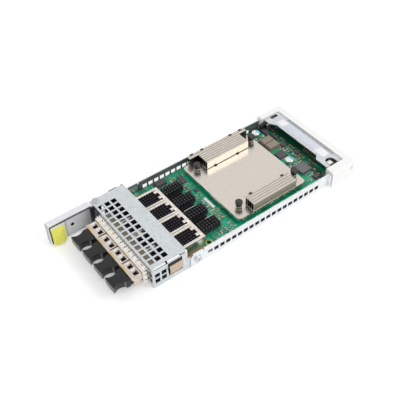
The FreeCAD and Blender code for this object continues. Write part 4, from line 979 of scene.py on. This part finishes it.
# %% Traces, vias and pads
lane_pitch, trace_width, shortest_run = 0.55, 0.24, 0.2
via_outer, via_inner, via_height = 0.34, 0.14, copper_height + 0.01
hole_x, hole_y, hole_outer, hole_inner, hole_sides = 32.1, 48.6, 2.5, 1.7, 32
ground_strips = {1.1: [(34.3, 29.0), (34.3, 43.8)], 1.6: [(-34.3, 33.6), (-34.3, 36.0)]}
draw = random.Random(11)
fields = {
    "between the small sinks and the plate": (-34.0, 34.0, 63.6, 73.4, 15),
    "left of the cage": (-36.0, -25.5, 28.0, 62.0, 6),
    "right strip": (33.2, 36.6, 50.0, 148.0, 10),
    "left strip": (-36.8, -33.6, 70.0, 148.0, 8),
    "rear": (-33.0, 33.5, 136.2, 158.0, 22),
    "among the small sinks": (-33.0, 29.0, 46.0, 63.0, 14),
}
copper = bmesh.new()
for x0, x1, y0, y1, bundles in fields.values():
    wide = x1 - x0 > y1 - y0
    for _ in range(bundles):
        length = draw.uniform(0.2, 0.6) * max(x1 - x0, y1 - y0)
        start = (draw.uniform(x0, x1), draw.uniform(y0, y1))
        turn = draw.choice((-1, 1)) * draw.uniform(0.8, 2.4)
        for lane in range(draw.randint(2, 5)):
            run = [(0.0, 0.0), (length / 2, 0.0), (length / 2 + abs(turn), turn), (length, turn)]
            shifted = [(along, lane * lane_pitch + across) for along, across in run]
            steps = shifted if wide else [step[::-1] for step in shifted]
            path = [(min(max(start[0] + x, x0), x1), min(max(start[1] + y, y0), y1)) for x, y in steps]
            if all((Vector(a) - Vector(b)).length > shortest_run for a, b in zip(path, path[1:])):
                ribbon(copper, path, trace_width)
                for end in (path[0], path[-1]):
                    ring(copper, *end, via_outer, via_inner, via_height, finish=1)
ring(copper, hole_x, hole_y, hole_outer, hole_inner, copper_height, finish=2, sides=hole_sides)
for width, ends in ground_strips.items():
    ribbon(copper, ends, width, finish=3)
piece("board_traces", copper, [trace_mask, tin, gold, bare_copper])

# %% [markdown]
# Ceramic capacitors are small fired blocks with bright tinned ends. Their tone depends on the ceramic: tan,
# orange-brown or nearly chocolate. The solids give only their outline, so each one is rebuilt from its own
# box: a body with two end caps that wrap round it, in a tone that a seeded draw picks.

# %% Ceramic capacitors
ceramic_tones = {"tan_ceramic": ("#B98F68", "#D0A67E"), "orange_brown_ceramic": ("#A9683F", "#C5814F"),
                 "chocolate_ceramic": ("#4F3528", "#664635")}
ceramics = [moulded(name, tones, 0.5, 0.4, 1.6, 0.005) for name, tones in ceramic_tones.items()]
tinned = len(ceramics)
cap_share, cap_skin = 0.24, 0.04
pick = random.Random(5)
capacitors = bmesh.new()
for low, high in loose_boxes("chip_capacitors"):
    cap_length = (high.y - low.y) * cap_share
    body_tone = pick.randrange(len(ceramics))
    block(capacitors, low + Vector((cap_skin, cap_skin, 0)), high - Vector((cap_skin, cap_skin, cap_skin)),
          body_tone, edge=0.06)
    block(capacitors, low, (high.x, low.y + cap_length, high.z), finish=tinned, edge=0.08)
    block(capacitors, (low.x, high.y - cap_length, low.z), high, finish=tinned, edge=0.08)
piece("ceramic_capacitors", capacitors, [*ceramics, tin], replaces=["chip_capacitors"])

# %% [markdown]
# The small heat sinks stand close together, and air should go through their pins rather than between them.
# Black foam pads on the board close the gaps. Each is a low block, cut to fit between two neighbours.

# %% Foam pads between the small heat sinks
pad_height, pad_gap, pad_front, pad_rear = 0.6, 0.1, 0.3, 2.0
sink_pads = bmesh.new()
for n in ports[:-1]:
    low, high = drawn(f"phy_heatsink_{n}")
    next_low = drawn(f"phy_heatsink_{n + 1}")[0]
    blocks(sink_pads, [(high.x + pad_gap, next_low.x - pad_gap, low.y + pad_front, high.y - pad_rear,
                        board_top, board_top + pad_height)], edge=0.15)
piece("sink_pads", sink_pads, [foam])

# %% [markdown]
# The smallest parts of the board must not run into the large ones. Before any are laid, the boxes of all
# that stands there already are listed, with a few places that stay bare. The boxes could be typed in, but
# read from the solids they stay right when a solid moves. One function tells whether a rectangle is free.

# %% Free places on the board
crowded = ["board_chips", "chip_capacitors", "can_capacitors", "power_inductors", "heatsink_base",
           "port_cage"]
crowded += [f"phy_heatsink_{n}" for n in ports]
kept_free = {"sticker": (-3.2, 69.4, 9.4, 72.4), "mounting hole": (28.6, 45.1, 35.6, 52.1),
             "rear corner": (-36.2, 149.2, -29.4, 162.0)}
taken = [box for node in crowded for box in loose_boxes(node)]
taken += [(Vector((x0, y0, 0)), Vector((x1, y1, 0))) for x0, y0, x1, y1 in kept_free.values()]
clearance = 0.4


def is_free(x, y, wide, deep):
    """Whether a rectangle on the board keeps clear of everything that is taken."""
    return not any(x < high.x + clearance and x + wide > low.x - clearance
                   and y < high.y + clearance and y + deep > low.y - clearance for low, high in taken)


print(len(taken), "places are taken")

# %% [markdown]
# Between the larger components the board is sown with tiny resistors and capacitors, a millimetre or so
# long. Nobody could place them by hand, so a seeded draw throws them into the free areas, keeps those that
# touch nothing, and lays about half of them across the board, as a layout program does. Nearer the rear
# they are larger, because the power supply sits there.

# %% Small resistors and capacitors
end_share, across_share, part_tones, part_heights = 0.26, 0.5, (0, 1, 1, 2, 4), (0.35, 0.7)
body_inset, body_drop = Vector((0.05, 0.05, 0)), Vector((0, 0, 0.04))
part_sizes = ((1.1, 0.6), (1.7, 0.9), (1.1, 0.6), (2.1, 1.3))
rear_sizes = ((1.5, 0.9), (2.1, 1.3), (1.8, 1.0), (2.5, 1.6))
zones = [(-34.0, 34.0, 63.4, 73.4, 120, part_sizes), (-35.5, -25.5, 46.0, 73.0, 50, part_sizes),
         (26.6, 36.2, 53.0, 73.0, 40, part_sizes), (33.2, 36.6, 74.0, 150.0, 90, part_sizes),
         (-36.4, -25.2, 27.5, 45.0, 30, part_sizes), (-31.0, 34.0, 136.0, 157.0, 420, rear_sizes)]
sow = random.Random(23)
small_parts = bmesh.new()
sown = 0
for x0, x1, y0, y1, tries, sizes in zones:
    for _ in range(tries):
        long_side, short_side = sow.choice(sizes)
        across = sow.random() < across_share
        wide, deep = (long_side, short_side) if across else (short_side, long_side)
        x, y = sow.uniform(x0, x1 - wide), sow.uniform(y0, y1 - deep)
        part_tone, height = sow.choice(part_tones), sow.uniform(*part_heights)
        if not is_free(x, y, wide, deep):
            continue
        low, high = Vector((x, y, board_top)), Vector((x + wide, y + deep, board_top + height))
        taken.append((low, high))
        sown += 1
        share = end_share * long_side
        step = Vector((wide - share, 0, 0)) if across else Vector((0, deep - share, 0))
        block(small_parts, low + body_inset, high - body_inset - body_drop, part_tone)
        block(small_parts, low, high - step, finish=tinned)
        block(small_parts, low + step, high, finish=tinned)
piece("small_parts", small_parts, [*ceramics, tin, epoxy])
print(sown, "small parts sown")

# %% [markdown]
# Chip packages stand on rows of bent leads. Each lead is a small tinned step: out from the package, down,
# and out again along the board. Two blocks make one, and a row of them follows the left and the right side
# of every package, evenly spaced about the middle of that side.

# %% Chip leads
lead_pitch, half_lead, lead_margin = 0.8, 0.16, 0.6
arm_end, toe_start, toe_end = 0.45, 0.35, 0.85
arm_low, arm_high, toe_high = 0.35, 0.5, 0.36
leads = bmesh.new()
for low, high in loose_boxes("board_chips"):
    count = max(2, int((high.y - low.y - lead_margin) / lead_pitch))
    for k in range(count):
        y = (low.y + high.y) / 2 + lead_pitch * (k - (count - 1) / 2)
        sides = (y - half_lead, y + half_lead)
        for x, out in ((low.x, -1), (high.x, 1)):
            arm = sorted((x, x + out * arm_end))
            toe = sorted((x + out * toe_start, x + out * toe_end))
            blocks(leads, [(*arm, *sides, low.z + arm_low, low.z + arm_high)])
            blocks(leads, [(*toe, *sides, low.z, low.z + toe_high)], edge=0.05)
piece("chip_leads", leads, [tin])

# %% [markdown]
# The largest bare chip near the rear is a paler package than the others, ground flat on top. A thin lid with
# broken edges, set in a little from the package's outline, shows that, and a dimple marks its first lead.

# %% Lid of the large chip
lid_inset, lid_height, dimple_inset, dimple_foot, dimple_sides = 0.25, 0.06, 1.3, 0.04, 20
dimple = [(0.42, 0.0), (0.42, 0.05), (0.3, 0.07), (0.0001, 0.05)]
ground_epoxy = moulded("ground_grey_epoxy", ("#6A686B", "#777578"), 0.4, 0.6, 1.55, 0.006)
rear_chips = [box for box in loose_boxes("board_chips") if box[0].y > plate_high.y]
low, high = max(rear_chips, key=lambda box: (box[1].x - box[0].x) * (box[1].y - box[0].y))
lid = bmesh.new()
blocks(lid, [(low.x + lid_inset, high.x - lid_inset, low.y + lid_inset, high.y - lid_inset, high.z,
              high.z + lid_height)], edge=0.03)
turned(lid, dimple, at(low.x + dimple_inset, low.y + dimple_inset, high.z + dimple_foot), finish=1,
       sides=dimple_sides)
piece("large_chip_lid", lid, [ground_epoxy, epoxy])

# %% [markdown]
# Two of the small heat sinks are held by a wire that runs over the pin tops and dips down between the pins
# at its ends. It is one round bar along a path of six points: its two feet, and two for each bend.

# %% Wires on the small heat sinks
wire_radius, wire_inset, wire_drop, wire_bend = 0.24, 0.5, 3.5, 0.4
sink_wires = bmesh.new()
for n, y0, y1 in ((3, 48.4, 58.4), (4, 55.4, 63.2)):
    low, high = drawn(f"phy_heatsink_{n}")
    top, foot = high.z + wire_radius, high.z - wire_drop
    bends = [(y0, foot), (y0, top - wire_bend), (y0 + wire_bend, top),
             (y1 - wire_bend, top), (y1, top - wire_bend), (y1, foot)]
    bar(sink_wires, [at(low.x + wire_inset, y, z) for y, z in bends], wire_radius)
piece("sink_wires", sink_wires, [spring_steel])

# %% [markdown]
# Can capacitors are drawn aluminium cups on a black base. A profile turned about the axis gives the rolled
# groove near the foot and the rounded shoulder, and the printed segment on the lid shows the polarity.

# %% Can capacitors
can_aluminium = metal("drawn_aluminium_can", ("#D9DCDD", "#EEF0F0"), 0.8, 0.22)
can_print = moulded("cyan_polarity_print", ("#35B4CE", "#62CBE0"), 0.5, 0.35, 1.5)
base_height, base_margin = 0.8, 0.15
groove = [(-0.4, 0.0), (0.0, 0.2), (0.0, 0.8), (-0.25, 1.1), (0.0, 1.4)]
shoulder = [(0.0, -0.5), (-0.15, -0.2), (-0.5, -0.02)]
print_radius, print_start, print_sweep, print_steps = 2.6, 20, 140, 16
print_turns = [math.radians(print_start + print_sweep * k / print_steps) for k in range(print_steps + 1)]
print_edge = [(print_radius * math.cos(turn), print_radius * math.sin(turn)) for turn in print_turns]
cans = bmesh.new()
for low, high in loose_boxes("can_capacitors"):
    x, y = (low.x + high.x) / 2, (low.y + high.y) / 2
    radius = (high.x - low.x) / 2 - base_margin
    foot = low.z + base_height
    block(cans, low, (high.x, high.y, foot), finish=1, edge=0.3)
    profile = [(radius + out, foot + rise) for out, rise in groove]
    profile += [(radius + out, high.z + rise) for out, rise in shoulder]
    turned(cans, profile, at(x, y, 0))
    segment = [cans.verts.new(at(x + east, y + north, high.z)) for east, north in print_edge]
    cans.faces.new(segment).material_index = 2
piece("can_capacitors_dressed", cans, [can_aluminium, connector_plastic, can_print],
      replaces=["can_capacitors"])

# %% [markdown]
# Blank stickers lie on the bracket and on the board, and a strip of clear ribbed plastic covers the middle
# of the bracket. They are thin plates, but with real thickness and rounded corners, so they catch light. Two
# scored lines run along the bracket's rear, where it was folded.

# %% Stickers and ribbed strip
paper = moulded("white_label_stock", ("#F0F0F2", "#FAFAFB"), 0.8, 0.5, 1.5, 0.003)
clear_strip = moulded("ribbed_clear_strip", ("#D6DBE4", "#E6EAF0"), 1.0, 0.3, 1.5)
bracket_top = drawn("rear_bracket")[1].z
strip_front, strip_rear = 160.2, 167.0
label_sides, label_rear, label_paper = ((-27.4, -20.4), (14.2, 23.6)), 166.6, 0.08
board_label, board_paper = (-2.8, 9.0, 69.8, 72.0), 0.12
stickers = bmesh.new()
blocks(stickers, [(*sides, strip_front, label_rear, bracket_top, bracket_top + label_paper)
                  for sides in label_sides], edge=0.03)
blocks(stickers, [(*board_label, board_top, board_top + board_paper)], edge=0.04)
piece("blank_stickers", stickers, [paper])

rib_pitch, rib_width, rib_margin, rib_inset = 1.0, 0.55, 0.3, 0.4
strip_left, strip_right, strip_height, rib_root, rib_height = -19.8, 13.4, 0.15, 0.1, 0.4
rib_count = int((strip_right - strip_left - rib_margin) / rib_pitch)
rib_places = [strip_left + rib_margin + rib_pitch * k for k in range(rib_count)]
ribs = bmesh.new()
blocks(ribs, [(strip_left, strip_right, strip_front, strip_rear,
               bracket_top, bracket_top + strip_height)], edge=0.05)
blocks(ribs, [(x, x + rib_width, strip_front + rib_inset, strip_rear - rib_inset,
               bracket_top + rib_root, bracket_top + rib_height) for x in rib_places], edge=0.12)
piece("ribbed_strip", ribs, [clear_strip])

score_sides, score_places, score_width, score_height = (-24.0, 25.4), (167.7, 169.1), 0.3, 0.05
scored = bmesh.new()
blocks(scored, [(*score_sides, y, y + score_width, bracket_top, bracket_top + score_height)
                for y in score_places], edge=0.02)
piece("scored_lines", scored, [solder])

# %% [markdown]
# In the rear left corner a black power connector stands beside the bracket's leg, with a bright steel post
# next to it, and a black liner closes the slot in the bracket from below. The connector and the liner are
# moulded blocks with soft edges, and the post is turned on a lathe, so it is made as a turned profile.

# %% Rear corner
connector_plan, connector_top = (-36.0, -33.2, 149.6, 154.2), 9.6
ridge_sides, ridge_places, ridge_length = (-35.7, -33.5), (150.3, 151.7, 153.1), 0.6
slot_plan, slot_liner = (-35.9, -32.3, 159.6, 166.9), (bracket_top - 1.9, bracket_top - 1.05)
post_x, post_y, post_sides = -30.6, 153.7, 24
post = [(1.0, 0.0), (1.0, 0.5), (0.6, 0.7), (0.6, 5.6), (0.75, 5.8), (0.75, 6.3)]
corner = bmesh.new()
blocks(corner, [(*connector_plan, board_top, connector_top)], edge=0.3)
blocks(corner, [(*ridge_sides, y, y + ridge_length, connector_top - 0.1, connector_top + 0.3)
                for y in ridge_places], edge=0.1)
blocks(corner, [(*slot_plan, *slot_liner)], edge=0.2)
turned(corner, post, at(post_x, post_y, board_top), finish=1, sides=post_sides)
piece("rear_corner_parts", corner, [connector_plastic, spring_steel])

# %% [markdown]
# The stage is a plain pale floor, like a sheet of studio paper. To the camera and in reflections it glows a
# little, which lifts it to the near white of such a paper without throwing more light on the module.

# %% Floor
floor_size, floor_height, floor_glow = 4.0, -0.0002, 0.28


def seen_plainly(tree):
    """1 for rays from the camera, from gloss and through clear things, and 0 for all others."""
    rays = add(tree, "LightPath").outputs
    seen = add(tree, "Math", links={0: rays["Is Camera Ray"], 1: rays["Is Glossy Ray"]}, operation="MAXIMUM")
    return add(tree, "Math", links={0: seen.outputs[0], 1: rays["Is Transmission Ray"]},
               operation="MAXIMUM").outputs[0]


floor_mesh = bpy.data.meshes.new("studio_floor")
floor_corners = [(x * floor_size / 2, y * floor_size / 2, floor_height)
                 for x, y in ((-1, -1), (1, -1), (1, 1), (-1, 1))]
floor_mesh.from_pydata(floor_corners, [], [(0, 1, 2, 3)])
floor = bpy.data.objects.new("studio_floor", floor_mesh)
bpy.context.scene.collection.objects.link(floor)
paper_floor = bpy.data.materials.new("white_paper_floor")
paper_floor.use_nodes = True
floor_tree = paper_floor.node_tree
floor_tree.nodes.clear()
lift = add(floor_tree, "Math", {1: floor_glow}, {0: seen_plainly(floor_tree)}, operation="MULTIPLY")
glow = add(floor_tree, "Emission", links={"Strength": lift.outputs[0]})
matte = add(floor_tree, "BsdfDiffuse", {"Color": colour("#F4F4F5")})
both = add(floor_tree, "AddShader", links={0: matte.outputs[0], 1: glow.outputs[0]})
add(floor_tree, "OutputMaterial", links={"Surface": both.outputs[0]})
floor_mesh.materials.append(paper_floor)
print("floor of", floor_size, "m")

# %% [markdown]
# The room is a white world. The camera and mirror-like metal see it at full white, and everything else gets
# a gentler light from it, so that pale plastics keep their tone. A soft box behind the right shoulder of the
# module gives the light a direction: it throws the shadow forward and puts a bright streak on the heat sink.

# %% World and lamp
room_light = 0.8
room = bpy.data.worlds.new("white_room")
bpy.context.scene.world = room
room.use_nodes = True
room_tree = room.node_tree
room_tree.nodes.clear()
room_strength = add(room_tree, "MapRange", {"To Min": room_light, "To Max": 1.0},
                    {"Value": seen_plainly(room_tree)})
room_white = add(room_tree, "Background", {"Color": (1.0, 1.0, 1.0, 1.0)},
                 {"Strength": room_strength.outputs["Result"]})
add(room_tree, "OutputWorld", links={"Surface": room_white.outputs[0]})

lamp_place, lamp_size, lamp_watts = Vector((0.57, 0.41, 0.72)), 0.57, 2.5
lamp = bpy.data.lights.new("key_box", "AREA")
lamp.size = lamp_size
lamp.energy = lamp_watts
holder = bpy.data.objects.new("key_box", lamp)
holder.location = lamp_place
holder.rotation_euler = (-lamp_place).to_track_quat("-Z", "Y").to_euler()
bpy.context.scene.collection.objects.link(holder)
bpy.context.scene.view_settings.view_transform = "Standard"
print("a soft box of", lamp_size, "m in a white room")

# %% [markdown]
# The camera stands in front of the ports on the right, looking down at about 46 degrees. It could be set by
# eye, but its place, turn and focal length were fitted to the module's own edges in the photograph, so that
# the two pictures can be compared piece by piece.

# %% Camera
camera_place = at(265.72, -124.04, 344.40)
azimuth, elevation, roll = math.radians(54.54), math.radians(45.86), math.radians(-1.90)
sensor_width, focal_length = 36.0, 60.35
level = Vector((math.cos(azimuth), math.sin(azimuth), 0))
back = Vector((math.sin(azimuth) * math.cos(elevation), -math.cos(azimuth) * math.cos(elevation),
               math.sin(elevation)))
upright = back.cross(level)
rolled_level = level * math.cos(roll) + upright * math.sin(roll)
rolled_upright = upright * math.cos(roll) - level * math.sin(roll)
lens = bpy.data.cameras.new("photo_camera")
lens.sensor_width = sensor_width
lens.lens = focal_length
camera = bpy.data.objects.new("photo_camera", lens)
camera_turn = Matrix((rolled_level, rolled_upright, back)).transposed().to_4x4()
camera.matrix_world = Matrix.Translation(camera_place) @ camera_turn
bpy.context.scene.collection.objects.link(camera)
bpy.context.scene.camera = camera
print("camera with a", focal_length, "mm lens")
